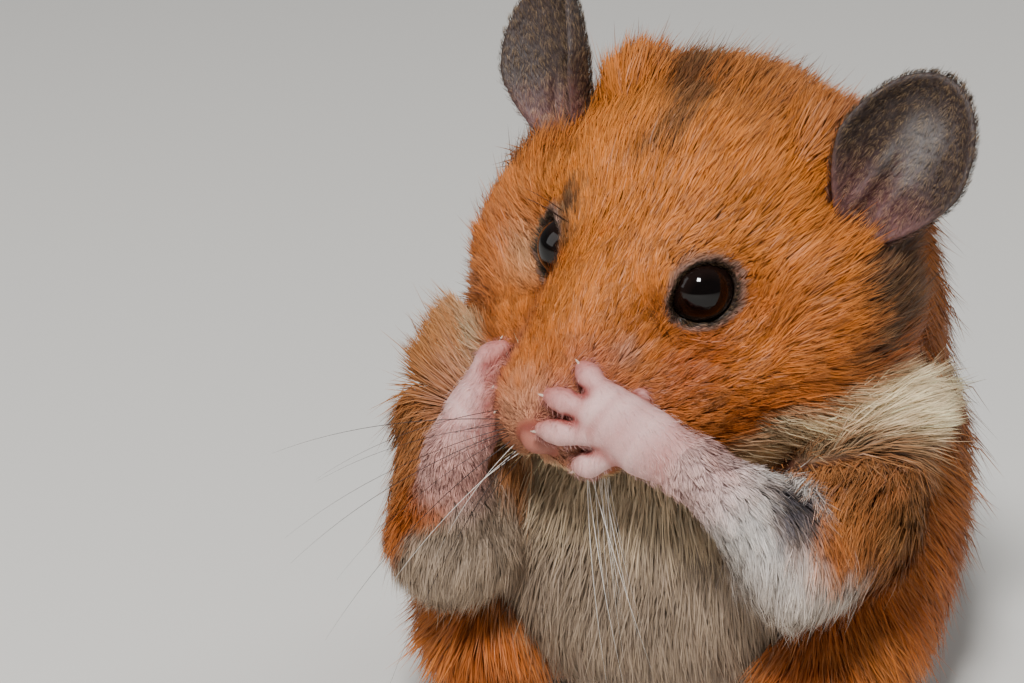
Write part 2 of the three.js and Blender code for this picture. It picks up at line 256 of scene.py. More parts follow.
# %% [markdown]
# ## Eyes and lids
#
# A hamster's eye is a bead that stands half out of the head. What makes it look alive is its edge:
# a thin dark lid that lies on the ball, with a corner drawn out towards the nose. A lid could be a
# ring of its own, but it would show a seam. So it is a ring of distance along the ball, melted into
# the skin, and the ball itself is cut out of the skin.

# %% Eyes and lids
EYE_RADIUS = 3.3  # mm
EYE_ASIDE = 7.4  # mm from the head's middle plane to the middle of an eyeball
# Where each eye looks, in the head's frame, as if it were the left one. The right one looks
# further forward, so that it shows beside the bridge of the nose.
GAZES = {1: unit(np.array([0.76, -0.59, 0.28])), -1: unit(np.array([0.6, -0.745, 0.29]))}
LID_OPEN = math.radians(66)  # from the gaze to the lid's edge
LID_THICK = 0.36  # mm, half of its edge
CORNER_DRAWN = math.radians(13)  # how much further the corner by the nose is drawn out
ORBIT_RADIUS = 4.6  # of the dish in the skull, out of which the eyeball stands
ORBIT = np.array([EYE_ASIDE, 0, 0]) + (1.3 + ORBIT_RADIUS) * unit(np.array([0.8, -0.56, 0.2]))
LID_LIES = 0.22  # mm between the ball and the middle of the lid's edge
FOLD_BACK = 0.36  # radians behind the edge, where the lid's second fold lies
SOCKET = 5.5  # mm from the eyeball's middle, within which skin before the ball is cut away


def lid_angles(local, gaze):
    """For points about an eyeball: angle from the gaze, and the angle at which the lid lies."""
    out = unit(local)
    nosewards = unit(np.array([-0.55, -0.75, -0.45]))
    inner = unit(nosewards - (nosewards @ gaze) * gaze).astype(local.dtype)
    gaze = gaze.astype(local.dtype)
    angle = np.arccos(np.clip(out @ gaze, -1, 1))
    sideways = unit(out - (out @ gaze)[:, None] * gaze)
    towards_corner = np.clip(sideways @ inner, -1, 1)
    drawn = CORNER_DRAWN * np.maximum(towards_corner, 0) ** 6
    drawn = drawn + 0.35 * CORNER_DRAWN * np.maximum(-towards_corner, 0) ** 6
    return angle, LID_OPEN + drawn


def with_eye(skin, q, side):
    local = q * np.array([side, 1, 1], q.dtype) - np.array([EYE_ASIDE, 0, 0], q.dtype)
    radius = length_of(local)
    near = radius < SOCKET + 3.5
    local, radius, here = local[near], radius[near], skin[near]
    angle, edge = lid_angles(local, GAZES[side])
    here = soft_max(here, np.minimum(radius * (edge - angle), SOCKET - radius), 0.4)
    ring = np.hypot(radius * (angle - edge), radius - EYE_RADIUS - LID_LIES) - LID_THICK
    fold = np.hypot(radius * (angle - edge - FOLD_BACK), radius - EYE_RADIUS - 0.35) - 0.3
    here = soft_min(here, soft_min(ring, fold, 0.7), 1.3)
    here = soft_max(here, EYE_RADIUS + 0.06 - radius, 0.12)
    skin = skin.copy()
    skin[near] = here
    return skin


print("visible eye is", round(2 * EYE_RADIUS * math.sin(LID_OPEN), 2), "mm across")

# %% [markdown]
# ## Nose and mouth
#
# The nose is a small bare button with two comma-shaped nostrils, and a groove runs from it down
# into the lips. On a model this size these are carved with a fine needle. Here each cut is a thin
# bent limb that is taken out of the skin by the soft maximum, so its edges stay rounded.

# %% Nose and mouth
NOSE = ([0, -18.0, -7.8], [1.55, 1.3, 1.2])


def with_nose(skin, q):
    skin = soft_min(skin, rounded_mass(q, *NOSE), 0.9)
    for side in SIDES.values():
        nostril = limb(q, [[side * 0.55, -19.9, -8.1], [side * 1.05, -19.7, -7.6],
                           [side * 1.65, -19.1, -7.5]], [0.26, 0.34, 0.16])
        skin = soft_max(skin, -nostril, 0.35)
        lip = limb(q, [[0, -17.9, -10.3], [side * 1.7, -16.8, -11.3], [side * 3.4, -14.0, -12.0],
                       [side * 4.2, -11.0, -11.6]], [0.35, 0.4, 0.4, 0.25])
        skin = soft_max(skin, -lip, 0.9)
    cleft = limb(q, [[0, -19.8, -8.9], [0, -18.4, -10.6]], [0.18, 0.28])
    return soft_max(skin, -cleft, 0.6)


print("nose is", 2 * NOSE[1][0], "mm wide")

# %% [markdown]
# ## Ears
#
# The ear is a thin leaf of skin, cupped forward, a finger-nail wide and less than a millimetre
# thick. Folded paper would do for its shape, but it has to grow out of the head without a seam.
# So it is a bent sheet with a thickness, cut by its outline, with a rim that rolls forward and two
# folds that run up from the opening of the ear canal.

# %% Ears
EAR_ROOT = np.array([17.3, 12.9, 1.2])
EAR_ALONG = unit(np.array([0.36, 0.5, 0.79]))
FORWARD = np.array([0.27, -0.93, 0.2])
EAR_OPENS = unit(FORWARD - (FORWARD @ EAR_ALONG) * EAR_ALONG)
EAR_ACROSS = np.cross(EAR_ALONG, EAR_OPENS)
EAR_LENGTH = 19.0  # mm, and so are the next three
EAR_HALF = 6.6  # from its middle line to its edge
EAR_CUP = 3.6  # how far the edges come forward
EAR_THICK = 0.9  # of the leaf near its tip


def ear_place(q):
    """Share of the length, place across and reach towards the rim, and distance before the leaf."""
    local = q - EAR_ROOT.astype(q.dtype)
    up = local @ EAR_ALONG.astype(q.dtype) + 2
    across = local @ EAR_ACROSS.astype(q.dtype)
    share = np.clip(up / EAR_LENGTH, 0, 1)
    half = EAR_HALF * (0.62 + 0.38 * np.minimum(share * 1.9, 1))
    over = across / half
    end = 2 * up / EAR_LENGTH - 1
    reach = np.hypot(end, over)
    rolled = 0.55 * smooth(0.74, 1.0, reach) * smooth(0.2, 0.5, share)
    sheet = EAR_CUP * (over * over - 0.5) + 2.2 * (0.5 - share) ** 2 + rolled
    before = (local @ EAR_OPENS.astype(q.dtype) - sheet) / np.hypot(1, 2 * EAR_CUP * over / half)
    slope = np.hypot(end / (EAR_LENGTH / 2), over / half)
    rim = reach * (reach - 1) / np.maximum(slope, 1e-3)
    return share, across, rim, before


def ear(q):
    share, across, rim, before = ear_place(q)
    up = share * EAR_LENGTH
    long_fold = 0.75 * np.exp(-((across + 1.9 - 0.06 * up) / 0.75) ** 2)
    short_fold = 0.6 * np.exp(-((across - 0.5 - 0.1 * up) / 0.7) ** 2)
    folds = long_fold * smooth(2, 5, up) * smooth(12, 8, up)
    folds += short_fold * smooth(2, 4, up) * smooth(9.5, 6, up)
    thick = EAR_THICK * (1 + 1.4 * (1 - share) ** 2) + 0.12 * smooth(-1.6, -0.4, rim)
    leaf = np.where(before > 0, before - thick / 2 - folds, -before - thick / 2)
    return soft_max(leaf, rim + 0.1, 0.8)


print("ear leans along", EAR_ALONG.round(2), "and opens along", EAR_OPENS.round(2))

# %% [markdown]
# ## Arms and hands
#
# The forelegs fold at the elbow and reach up to the muzzle, the hands turn in with spread fingers.
# A hamster's hand has four fingers and the stub of a thumb, each finger two soft swellings long.
# Spheres in a row would look like beads, so each finger is a bowed limb with swelling widths, and
# the palm a limb pressed flat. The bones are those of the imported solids, so both stay in one place.

# %% Arms and hands
SHOULDER = {"left": [18.5, -10, 35], "right": [-16.5, -8, 38]}
UPPER_ARM_MIDDLE = {"left": [19.5, -18, 31], "right": [-18.2, -15, 33.5]}
ELBOW = {"left": [17.2, -25.5, 29.7], "right": [-17.8, -23.2, 25.2]}
WRIST = {"left": [8.6, -30.4, 38.2], "right": [-16.2, -27.8, 35.2]}
ARM_BONE = [4.4, 2.5]  # half widths of the forearm at elbow and wrist, in mm
MUZZLE_HEART = out_of_head([0, -9, -7])  # fingers bow away from here
HANDS = {
    "left": {
        "palm": [9.4, -15.4, -5.6],
        "knuckles": [[6.4, -14.8, -2.4], [6.7, -15.8, -3.3], [7.1, -16.6, -4.8], [7.6, -16.6, -6.9]],
        "tips": [[3.8, -14.1, -0.7], [1.8, -17.0, -2.5], [1.8, -18.9, -5.1], [5.0, -18.4, -8.6]],
        "thumb": [8.6, -12.4, -3.7],
    },
    "right": {
        "palm": [-8.9, -16.2, -8.8],
        "knuckles": [[-8.3, -14.4, -5.8], [-7.9, -14.8, -7.2], [-7.6, -15.8, -8.8], [-7.8, -16.8, -10.2]],
        "tips": [[-7.4, -12.4, -3.4], [-6.6, -13.0, -4.6], [-6.2, -15.6, -6.0], [-5.6, -16.8, -7.6]],
        "thumb": [-9.6, -12.6, -7.2],
    },
}
FINGER_WIDTHS = [1.05, 1.25, 1.12, 1.06, 1.2, 1.08, 0.8]  # half widths in mm, knuckle to tip
FINGER_BOW = 0.9  # mm by which the joint stands off the straight line


def fingers_of(name):
    """The spine of each finger, knuckle to tip, bowed away from the muzzle."""
    hand = HANDS[name]
    middle = out_of_head(hand["palm"])
    spines = []
    for knuckle, tip in zip(hand["knuckles"], hand["tips"]):
        start, end = out_of_head(knuckle), out_of_head(tip)
        away = unit(start - MUZZLE_HEART) * FINGER_BOW
        joint = start + (end - start) * 0.55 + away
        spines.append(bowed([start + (middle - start) * 0.35, joint, end]))
    return spines


def flattened(points, spine, widths, up, flat):
    """A limb squeezed along the direction up."""
    up = unit(np.asarray(up, float))
    origin = np.asarray(spine[0], float)
    squeeze = np.eye(3) + np.outer(up, up) * (1 / flat - 1)
    along = [(np.asarray(p, float) - origin) @ squeeze + origin for p in spine]
    origin, squeeze = origin.astype(points.dtype), squeeze.astype(points.dtype)
    placed = (points - origin) @ squeeze + origin
    return limb(placed, along, widths, 0.5) * 0.85


def hand(p, name):
    parts = HANDS[name]
    middle = out_of_head(parts["palm"])
    wrist = np.array(WRIST[name]) * 0.88 + middle * 0.12
    front = middle + (out_of_head(parts["knuckles"][1]) - middle) * 0.8
    palm = flattened(p, bowed([wrist, wrist + (middle - wrist) * 0.7, front]),
                     spread([2.4, 3.2, 2.9], 7), middle - MUZZLE_HEART, 0.72)
    digits = None
    for spine in fingers_of(name):
        digit = limb(p, spine, FINGER_WIDTHS, 0.25)
        digits = digit if digits is None else soft_min(digits, digit, 0.3)
    thumb = limb(p, [middle, out_of_head(parts["thumb"])], [1.2, 0.9])
    return soft_min(soft_min(palm, digits, 0.9), thumb, 0.8)


print("fingers", sum(len(h["tips"]) for h in HANDS.values()))

# %% [markdown]
# ## Hind feet and tail
#
# The hind feet stand flat under the belly with five toes each, the middle ones longest, and the
# tail is a bare stub. They are drawn from a heel, a splay and a length, so that both feet come from
# one set of numbers.

# %% Hind feet and tail
HEEL = [16.5, -13.5]
FOOT_SPLAY = math.radians(12)
FOOT_LENGTH = 18.5  # mm, heel to the tip of the longest toe
SOLE = FOOT_LENGTH * 0.62
TOES = [(-4.2, 3.6), (-2.2, 0.9), (0, 0), (2.1, 0.7), (4.0, 3.2)]  # aside, and short of the longest


def foot_spot(side, reach, aside, up):
    splay = side * FOOT_SPLAY
    x = HEEL[0] * side + math.sin(splay) * reach + math.cos(splay) * aside * side
    y = HEEL[1] - math.cos(splay) * reach + math.sin(splay) * aside * side
    return [x, y, up]


def toes_of(side):
    spines = []
    for aside, short in TOES:
        reach = FOOT_LENGTH - 1 - short
        spines.append(bowed([foot_spot(side, SOLE - 1.5, aside * 0.62, 1.5),
                             foot_spot(side, (SOLE + reach) / 2, aside * 0.9, 1.9),
                             foot_spot(side, reach, aside * 1.12, 0.8)]))
    return spines


def foot(p, side):
    spots = [foot_spot(side, 0, 0, 2.4), foot_spot(side, SOLE / 2, 0, 2.2), foot_spot(side, SOLE, 0, 1.5)]
    whole = flattened(p, bowed(spots), spread([2.6, 3.1, 3.5], 7), [0, 0, 1], 0.72)
    for spine in toes_of(side):
        whole = soft_min(whole, limb(p, spine, spread([1.25, 1.1, 1.2, 0.85], 7), 0.25), 0.6)
    return whole


TAIL = [[1, 27, 6.5], [2, 33, 4.4], [3.5, 41, 1.7]]
TAIL_WIDTHS = [3.0, 2.3, 1.0]  # half widths in mm
print("toes", 2 * len(TOES), "sole", round(SOLE, 1), "mm long")

# %% [markdown]
# ## One skin
#
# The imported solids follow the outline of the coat, so the skin lies inside them by the depth of the
# fur: three millimetres on the flanks, one on the bridge of the nose, nothing on palms and soles.
# Everything is melted into one distance, whose zero level is the skin. The parts are kept as well,
# because they tell later which way the hair grows and what colour it has.

# %% The depth of the coat, and one distance for all
ROOM = 4.0  # mm about a small part in which it still touches its neighbours


def head_depth(q):
    on_crown = smooth(6, 16, q[:, 1]) * smooth(0, 8, q[:, 2])
    depth = 0.75 + 1.95 * smooth(-15, 12, q[:, 1]) + on_crown
    for side in SIDES.values():
        from_eye = length_of(q - np.array([side * EYE_ASIDE, 0, 0], q.dtype))
        depth = np.minimum(depth, 0.55 + 0.28 * np.maximum(from_eye - 3.3, 0))
    return depth


def furred_head(q):
    skull = melted(q, SKULL, 4.0)
    for side in SIDES.values():
        skull = soft_max(skull, -rounded_mass(q, [side * 19.4, 13.6, 5.0], [3.9, 3.9, 5.2]), 2.0)
        orbit = ORBIT * np.array([side, 1, 1])
        skull = soft_max(skull, ORBIT_RADIUS - length_of(q - orbit.astype(q.dtype)), 2.0)
    return skull + head_depth(q)


def nearby(points, centre, radius, shape):
    """A small part's distance, worked out only inside a ball that holds it with room to spare."""
    away = length_of(points - np.asarray(centre, points.dtype)) - radius
    close = away < 0
    result = away + ROOM
    if close.any():
        result[close] = shape(points[close])
    return result


def flesh(points):
    """The distance outside the skin, and outside each of its parts."""
    p = points
    q = into_head(p)
    part = {}
    part["torso"] = melted(p, TORSO, 8.0) + 3.2
    part["head"] = nearby(q, [0, 4, -2], 30 + ROOM, furred_head)
    whole = soft_min(part["torso"], part["head"], 3.5)
    for name, side in SIDES.items():
        thigh = melted(p, THIGHS[name], 6.0) + 3.0
        part["thigh_" + name] = thigh
        whole = soft_min(whole, thigh, 4.0)
        spine = bowed([SHOULDER[name], UPPER_ARM_MIDDLE[name], ELBOW[name]], 2)
        upper = nearby(p, UPPER_ARM_MIDDLE[name], 19 + ROOM,
                       lambda c: limb(c, spine, spread([8, 8.6, 6.9], 5)) + 2.3)
        part["upper_arm_" + name] = upper
        whole = soft_min(whole, upper, 3.0)
        fore = limb(p, [ELBOW[name], WRIST[name]], ARM_BONE)
        part["forearm_" + name] = fore
        palm = out_of_head(HANDS[name]["palm"])
        fist = nearby(p, palm, 12 + ROOM, lambda c: hand(c, name))
        part["hand_" + name] = fist
        arm = soft_min(fore, fist, 1.6)
        from_palm = length_of(p - palm.astype(p.dtype))
        whole = soft_min(whole, arm, 0.3 + 1.9 * smooth(8, 14, from_palm))
        sole = nearby(p, foot_spot(side, 9, 0, 1), 14 + ROOM, lambda c: foot(c, side))
        part["foot_" + name] = sole
        whole = soft_min(whole, sole, 1.2)
        leaf = nearby(q * np.array([side, 1, 1], q.dtype), EAR_ROOT + 7.5 * EAR_ALONG, 12 + ROOM, ear)
        part["ear_" + name] = leaf
        whole = soft_min(whole, leaf, 1.3)
        whole = with_eye(whole, q, side)
    part["tail"] = nearby(p, TAIL[1], 11 + ROOM,
                          lambda c: limb(c, bowed(TAIL), spread(TAIL_WIDTHS, 7)))
    whole = soft_min(whole, part["tail"], 1.5)
    muzzle = length_of(q - np.array([0, -16, -9.5], q.dtype)) < 9
    whole[muzzle] = with_nose(whole[muzzle], q[muzzle])
    return soft_max(whole, -p[:, 2], 0.6), part


chest = np.array([[0.0, -4.0, 35.0]])
print("the middle of the chest lies", -round(float(flesh(chest)[0][0]), 1), "mm inside the skin")

# %% [markdown]
# ## The skin as a mesh
#
# Now the distance has to become faces. Blender could remesh a rough shape, but OpenVDB, which comes
# with Blender, turns a volume of distances straight into an even net of quads. Only the blocks near
# the skin are worked out finely, which saves most of the time. Each point is then slid along the
# slope onto the true zero level, so that no steps of the lattice show.

# %% The skin as a mesh
VOXEL = 0.4  # mm
BAND = 1.6  # mm kept to each side of the skin
CHUNK = 16384  # points worked on at a time


def in_chunks(points, what):
    """Works through many points in pieces, on all of the processor's cores."""
    pieces = [points[i:i + CHUNK] for i in range(0, len(points), CHUNK)]
    with ThreadPoolExecutor() as pool:
        return np.concatenate(list(pool.map(what, pieces)))


def skin_distance(points):
    return in_chunks(points.astype(np.float32), lambda c: flesh(c)[0])


BLOCK = 8  # lattice steps along a block
NEAR_SKIN = 5.5  # mm; a block whose middle is further off cannot hold the skin
LOW = np.array([-33.2, -37.0, -1.2])
blocks = np.array([21, 26, 25])
corners = np.stack(np.meshgrid(*[np.arange(n) for n in blocks], indexing="ij"), -1)
corners = corners.reshape(-1, 3) * BLOCK
coarse = skin_distance(LOW + (corners + (BLOCK - 1) / 2) * VOXEL)
field = np.repeat(np.repeat(np.repeat(coarse.reshape(blocks), BLOCK, 0), BLOCK, 1), BLOCK, 2)
inside_block = np.stack(np.meshgrid(*[np.arange(BLOCK)] * 3, indexing="ij"), -1).reshape(-1, 3)
close = corners[np.abs(coarse) < NEAR_SKIN]
cells = (close[:, None] + inside_block).reshape(-1, 3)
field[tuple(cells.T)] = skin_distance(LOW + cells * VOXEL)
grid = openvdb.FloatGrid(BAND)
grid.copyFromArray(np.clip(field, -BAND, BAND).astype(np.float32), tolerance=0.0)
lattice_points, _, quads = grid.convertToPolygons(isovalue=0.0, adaptivity=0.0)
slopes = np.gradient(field)
print("looked closely at", len(cells), "points; skin has", len(quads), "quads")


def look_up(volumes, points):
    """Reads volumes at any points, between the eight lattice points about each."""
    place = np.clip((points - LOW) / VOXEL, 0, np.array(field.shape) - 1.001)
    base = place.astype(int)
    share = place - base
    total = [0.0] * len(volumes)
    for corner in np.ndindex(2, 2, 2):
        weight = np.prod(np.where(corner, share, 1 - share), -1)
        spot = tuple((base + corner).T)
        total = [t + weight * v[spot] for t, v in zip(total, volumes)]
    return total


def outward(points):
    return unit(np.stack(look_up(slopes, points), -1))


def onto_skin(points, steps=2):
    for _ in range(steps):
        points = points - outward(points) * skin_distance(points)[:, None]
    return points


# %% [markdown]
# ## The skin as an object
#
# Face, hands and feet carry forms of a few tenths of a millimetre. Their faces are cut in four and
# slid onto the skin once more. Cutting every face would give four times the load for no gain on the
# trunk, which the coat hides.

# %% The skin as an object
def make_object(name, points, faces):
    """A mesh object from points in the animal's millimetres and faces of one size."""
    mesh = bpy.data.meshes.new(name)
    faces = np.asarray(faces)
    mesh.vertices.add(len(points))
    mesh.vertices.foreach_set("co", ((points + SHIFT) * METRES).astype(np.float32).ravel())
    mesh.loops.add(faces.size)
    mesh.loops.foreach_set("vertex_index", faces.astype(np.int32).ravel())
    mesh.polygons.add(len(faces))
    mesh.polygons.foreach_set("loop_start", np.arange(0, faces.size, faces.shape[1], dtype=np.int32))
    mesh.update(calc_edges=True)
    mesh.validate()
    mesh.polygons.foreach_set("use_smooth", np.full(len(faces), True))
    piece = bpy.data.objects.new(name, mesh)
    bpy.context.scene.collection.objects.link(piece)
    return piece


def points_of(piece):
    values = np.empty(len(piece.data.vertices) * 3, np.float32)
    piece.data.vertices.foreach_get("co", values)
    return values.reshape(-1, 3).astype(float) / METRES - SHIFT


def move_points(piece, points):
    piece.data.vertices.foreach_set("co", ((points + SHIFT) * METRES).astype(np.float32).ravel())
    piece.data.update()


skin = make_object("skin", onto_skin(lattice_points * VOXEL + LOW), quads[:, ::-1])
skin_points = points_of(skin)
_, parts = flesh(skin_points)
q = into_head(skin_points)
fine = (q[:, 1] < 0) & (q[:, 2] > -14) & (np.abs(q[:, 0]) < 12) & (parts["head"] < 1.5)
for name in SIDES:
    fine |= (parts["hand_" + name] < 0.6) | (parts["foot_" + name] < 0.4)
sheet = bmesh.new()
sheet.from_mesh(skin.data)
sheet.verts.ensure_lookup_table()
edges = [e for e in sheet.edges if fine[e.verts[0].index] and fine[e.verts[1].index]]
bmesh.ops.subdivide_edges(sheet, edges=edges, cuts=1, use_grid_fill=True)
sheet.to_mesh(skin.data)
sheet.free()
skin_points = onto_skin(points_of(skin), 3)
move_points(skin, skin_points)
skin.data.polygons.foreach_set("use_smooth", np.full(len(skin.data.polygons), True))
print("skin", len(skin.data.vertices), "points", len(skin.data.polygons), "faces")

# %% [markdown]
# ## The lie of the coat
#
# Hair does not stand on an animal like grass: it lies, and each part has its own direction. On the
# head it streams back from the nose, parts round the eyes and runs up to the ears. On the body it
# streams down to the tail, and on a limb towards the toes. It could be combed by hand in particle
# mode, but that hair is lost in an export. So the directions are worked out for every point of the
# skin from the part that it belongs to.

# %% Which part a point belongs to, and the flow of hair on each
TAIL_TIP = np.array([1.0, 30.0, 3.0])
PAIRED = ("thigh_", "upper_arm_", "forearm_", "hand_", "foot_", "ear_")
REGIONS = ["head", "torso", "tail"] + [part + name for part in PAIRED for name in SIDES]
OUTER = REGIONS.index("forearm_left")  # from here on the list: forearms, hands, feet and ears


def weights_of(parts):
    """How much each point belongs to each part: the nearest part counts most."""
    distances = np.stack([parts[r] for r in REGIONS], 1)
    closeness = np.exp(-(distances - distances.min(1, keepdims=True)) / 0.9)
    return closeness / closeness.sum(1, keepdims=True)


def head_flow(q):
    flow = unit(q - np.array([0, -15.5, -8.0]))
    flow = flow + smooth(-12, 12, q[:, 1])[:, None] * np.array([0, 0.55, -0.1])
    for side in SIDES.values():
        from_eye = q - np.array([side * EYE_ASIDE, 0, 0])
        away = unit(from_eye)
        into_eye = np.minimum((flow * away).sum(1), 0) * smooth(9, 4, length_of(from_eye))
        flow = flow - 1.25 * into_eye[:, None] * away
    for side in SIDES.values():
        by_ear = smooth(9, 4.5, length_of(q - EAR_ROOT * [side, 1, 1]))
        flow = mixed(unit(flow), EAR_ALONG * [side, 1, 1], 0.8 * by_ear)
    return unit(flow) @ HEAD_TURN.T


def torso_flow(p):
    return unit(0.6 * unit(TAIL_TIP - p) + np.array([0, 0.05, -0.8]))


def constant(direction):
    return lambda p: np.broadcast_to(unit(np.asarray(direction, float)), p.shape)


FLOWS = {"torso": torso_flow, "tail": constant([0.2, 1, -0.45])}
for name, side in SIDES.items():
    elbow, wrist = np.array(ELBOW[name]), np.array(WRIST[name])
    FLOWS["thigh_" + name] = constant([side * 0.1, 0.25, -1])
    FLOWS["upper_arm_" + name] = constant(elbow - np.array(SHOULDER[name]) + np.array([0, 0, -5.0]))
    FLOWS["forearm_" + name] = constant(0.55 * unit(elbow - wrist) + np.array([0, 0, -0.8]))
    FLOWS["hand_" + name] = FLOWS["forearm_" + name]
    FLOWS["foot_" + name] = constant([side * math.sin(FOOT_SPLAY), -math.cos(FOOT_SPLAY), 0.1])
    FLOWS["ear_" + name] = constant((EAR_ALONG * [side, 1, 1]) @ HEAD_TURN.T)

print("flows for", len(FLOWS) + 1, "parts")

# %% [markdown]
# ## The cream crescent
#
# The mark by which one knows a golden hamster: a pale band from the corner of the mouth, under the
# cheek, to behind the shoulder. Its hairs are long and stream backwards over the fold between cheek
# and arm. It has both a colour and a lie of its own, so its line is drawn once and used for both.

# %% The cream crescent
# Its middle line on the left side, from the corner of the mouth to behind the shoulder.
CRESCENT = [[7.8, -22.8, 37.4], [9.3, -20.2, 37.6], [11.5, -18.9, 38.3], [14.3, -18.4, 39.0],
            [18.0, -17.6, 39.7], [21.2, -14.3, 39.7], [23.1, -11, 39.2], [21.8, 4.7, 34.2]]
CRESCENT_WIDTHS = [1.0, 2.0, 3.1, 3.6, 3.8, 3.9, 3.6, 2.9]
CRESCENT_HAIR = 6.2  # mm, long enough to lie over the fold between cheek and arm
CRESCENT_FLOW = np.array([0.62, 0.75, 0.0])


def in_crescent(points, side, wider=0.0, soft=0.6):
    """1 in the crescent of one side, fading to 0 about it."""
    mirrored = points * [side, 1, 1] - [(side - 1) / 2, 0, 0]
    return smooth(soft, -soft, limb(mirrored, CRESCENT, np.array(CRESCENT_WIDTHS) + wider))


print("crescent", len(CRESCENT), "points, widest", 2 * max(CRESCENT_WIDTHS), "mm")

# %% [markdown]
# ## Length, crowd and width of the hair
#
# Hair is shortest on the hands, the ears and about the eyes, and longest on the trunk. Where it is
# short it is also finer and denser. A real hamster has far more and finer hairs than a model can
# carry, so each blade stands for a small tuft: about as wide as three to five hairs.

# %% Length, crowd and width of the hair
COAT = {  # length in mm, tufts to the square millimetre, width in mm
    "torso": (6.6, 17, 0.17),
    "tail": (1.3, 9, 0.08),
    "thigh": (6.0, 17, 0.16),
    "upper_arm": (4.8, 42, 0.125),
    "forearm": (3.3, 62, 0.095),
    "hand": (0.8, 2.2, 0.035),
    "foot": (1.0, 4, 0.05),
    "ear": (1.0, 34, 0.045),
}
PARTS = np.array([r.replace("_left", "").replace("_right", "") for r in REGIONS])


def coat_plan(points, normals):
    """For points of the skin: direction, length, crowd and width of the hair there."""
    _, parts = flesh(points)
    q = into_head(points)
    share = weights_of(parts)
    flow = share[:, :1] * head_flow(q)
    on_head = smooth(-15, 12, q[:, 1])
    from_eyes = [length_of(q - np.array([s * EYE_ASIDE, 0, 0])) for s in SIDES.values()]
    eye_gap = np.minimum(*from_eyes) - EYE_RADIUS
    length = np.minimum(1.5 + 3.7 * on_head, 0.55 + 0.75 * np.maximum(eye_gap, 0))
    from_nose = length_of(q - np.array(NOSE[0]))
    length = length * smooth(1.2, 5.0, from_nose)
    length, crowd = share[:, 0] * length, share[:, 0] * (135 - 85 * on_head)
    width = share[:, 0] * (0.08 + 0.045 * on_head)
    for i, region in enumerate(REGIONS[1:], 1):
        flow = flow + share[:, i:i + 1] * FLOWS[region](points)
        hair = COAT[PARTS[i]]
        length = length + share[:, i] * hair[0]
        crowd = crowd + share[:, i] * hair[1]
        width = width + share[:, i] * hair[2]
    for side in SIDES.values():
        by_ear = smooth(8, 4, length_of(q - EAR_ROOT * [side, 1, 1]))
        length = length * (1 + 0.6 * by_ear * share[:, 0])
        banded = in_crescent(points, side, 0.5) * (1 - share[:, OUTER:].sum(1))
        flow = mixed(unit(flow), CRESCENT_FLOW * [side, 1, 1], banded)
        length = length + (CRESCENT_HAIR - length) * banded
    for i, name in enumerate(SIDES, OUTER):
        from_wrist = length_of(points - np.array(WRIST[name]))
        length = length * (1 - 0.75 * share[:, i] * smooth(10, 2, from_wrist))
    flow = unit(flow - (flow * normals).sum(1, keepdims=True) * normals)
    return flow, length, crowd, width, share


skin_normals = outward(skin_points)
flow, hair_length, hair_crowd, hair_width, belongs = coat_plan(skin_points, skin_normals)
print("hair length from", hair_length.min().round(2), "to", hair_length.max().round(2), "mm")

# %% [markdown]
# ## Colours
#
# A golden hamster is orange above, each hair slate grey at its root and here and there black at its
# tip. Cream crescents sweep back from the throat under the cheeks, a smoky flash lies across each
# cheek, and the belly, throat and forearms are pale. Every colour is written once, by its name on
# the animal, and turned into linear light, which is what a renderer adds up.

# %% Colours
def linear(code):
    """An sRGB colour such as "c8702f" as linear red, green and blue."""
    values = np.array([int(code[i:i + 2], 16) for i in (0, 2, 4)]) / 255
    return np.where(values <= 0.04045, values / 12.92, ((values + 0.055) / 1.055) ** 2.4)


GOLDEN = linear("bb6a26")  # back and crown
ORANGE = linear("98450f")  # cheeks, and a part of the back
BROWN = linear("7f5430")  # darker patches of back and arms; towards the back partly painted shade
CREAM = linear("e3cba3")  # crescents, chin and chest
WHITE = linear("cfc8c2")  # the sleeve of the left forearm
ASH = linear("93806e")  # the lower belly, and the other sleeve
SMOKE = linear("3b2b20")  # the flash on the cheek and the marks of the head
SLATE = linear("38333a")  # hair roots that show on the arm
MUZZLE_TAN = linear("c28a6c")  # short hair about the nose
THIN_FUR = linear("b9a09a")  # skin that shows between nose and eye
PALE_TIP_AND_GLINT = linear("edc489")  # paler hair tips, partly their real colour and partly a painted highlight
PINK = linear("dcb2ad")  # hands, feet and tail
FLUSH_AND_SHADE = linear("b3625c")  # redder fingertips; and painted shade where a hand faces the muzzle
NOSE_PINK = linear("a0604f")
EAR_GREY = linear("3f322e")  # the leaf of the ear
EAR_PINK = linear("6a4a48")  # its root, inside
EAR_PAINTED_SHEEN = linear("8f8a88")  # painted sheen: a pale patch where fine hairs catch the light
LID_GREY = linear("77625c")
FOLD_SHADE_TINT = [0.62, 0.36, 0.34]  # painted shade in a fold of skin: the share of red, green and blue kept there
print("golden, in linear light:", GOLDEN.round(3))

# %% [markdown]
# ## Random patches
#
# No coat is even. Patches of a size in millimetres make its colours waver and its edges ragged. A
# picture of noise could be used, but a hash of whole-numbered cells gives the same patches at any
# point, for the skin and for each hair root on it, and it is the same each time.

# %% Random patches
def hashed(cells, salt):
    """A fixed random number between 0 and 1 for each whole-numbered cell."""
    n = (cells[..., 0] * 73856093) ^ (cells[..., 1] * 19349663)
    n = n ^ (cells[..., 2] * 83492791) ^ (salt * 6971)
    n = ((n ^ (n >> 13)) * 1274126177) & 0xFFFFFFFF
    return ((n ^ (n >> 16)) & 0xFFFFFF) / 0x1000000


def mottle(points, size, salt):
    """Soft random patches of a size in mm, between -1 and 1."""
    place = points / size
    base = np.floor(place).astype(np.int64)
    share = place - base
    share = share * share * (3 - 2 * share)
    total = 0.0
    for corner in np.ndindex(2, 2, 2):
        weight = np.prod(np.where(corner, share, 1 - share), -1)
        total = total + weight * hashed(base + corner, salt)
    return total * 2 - 1


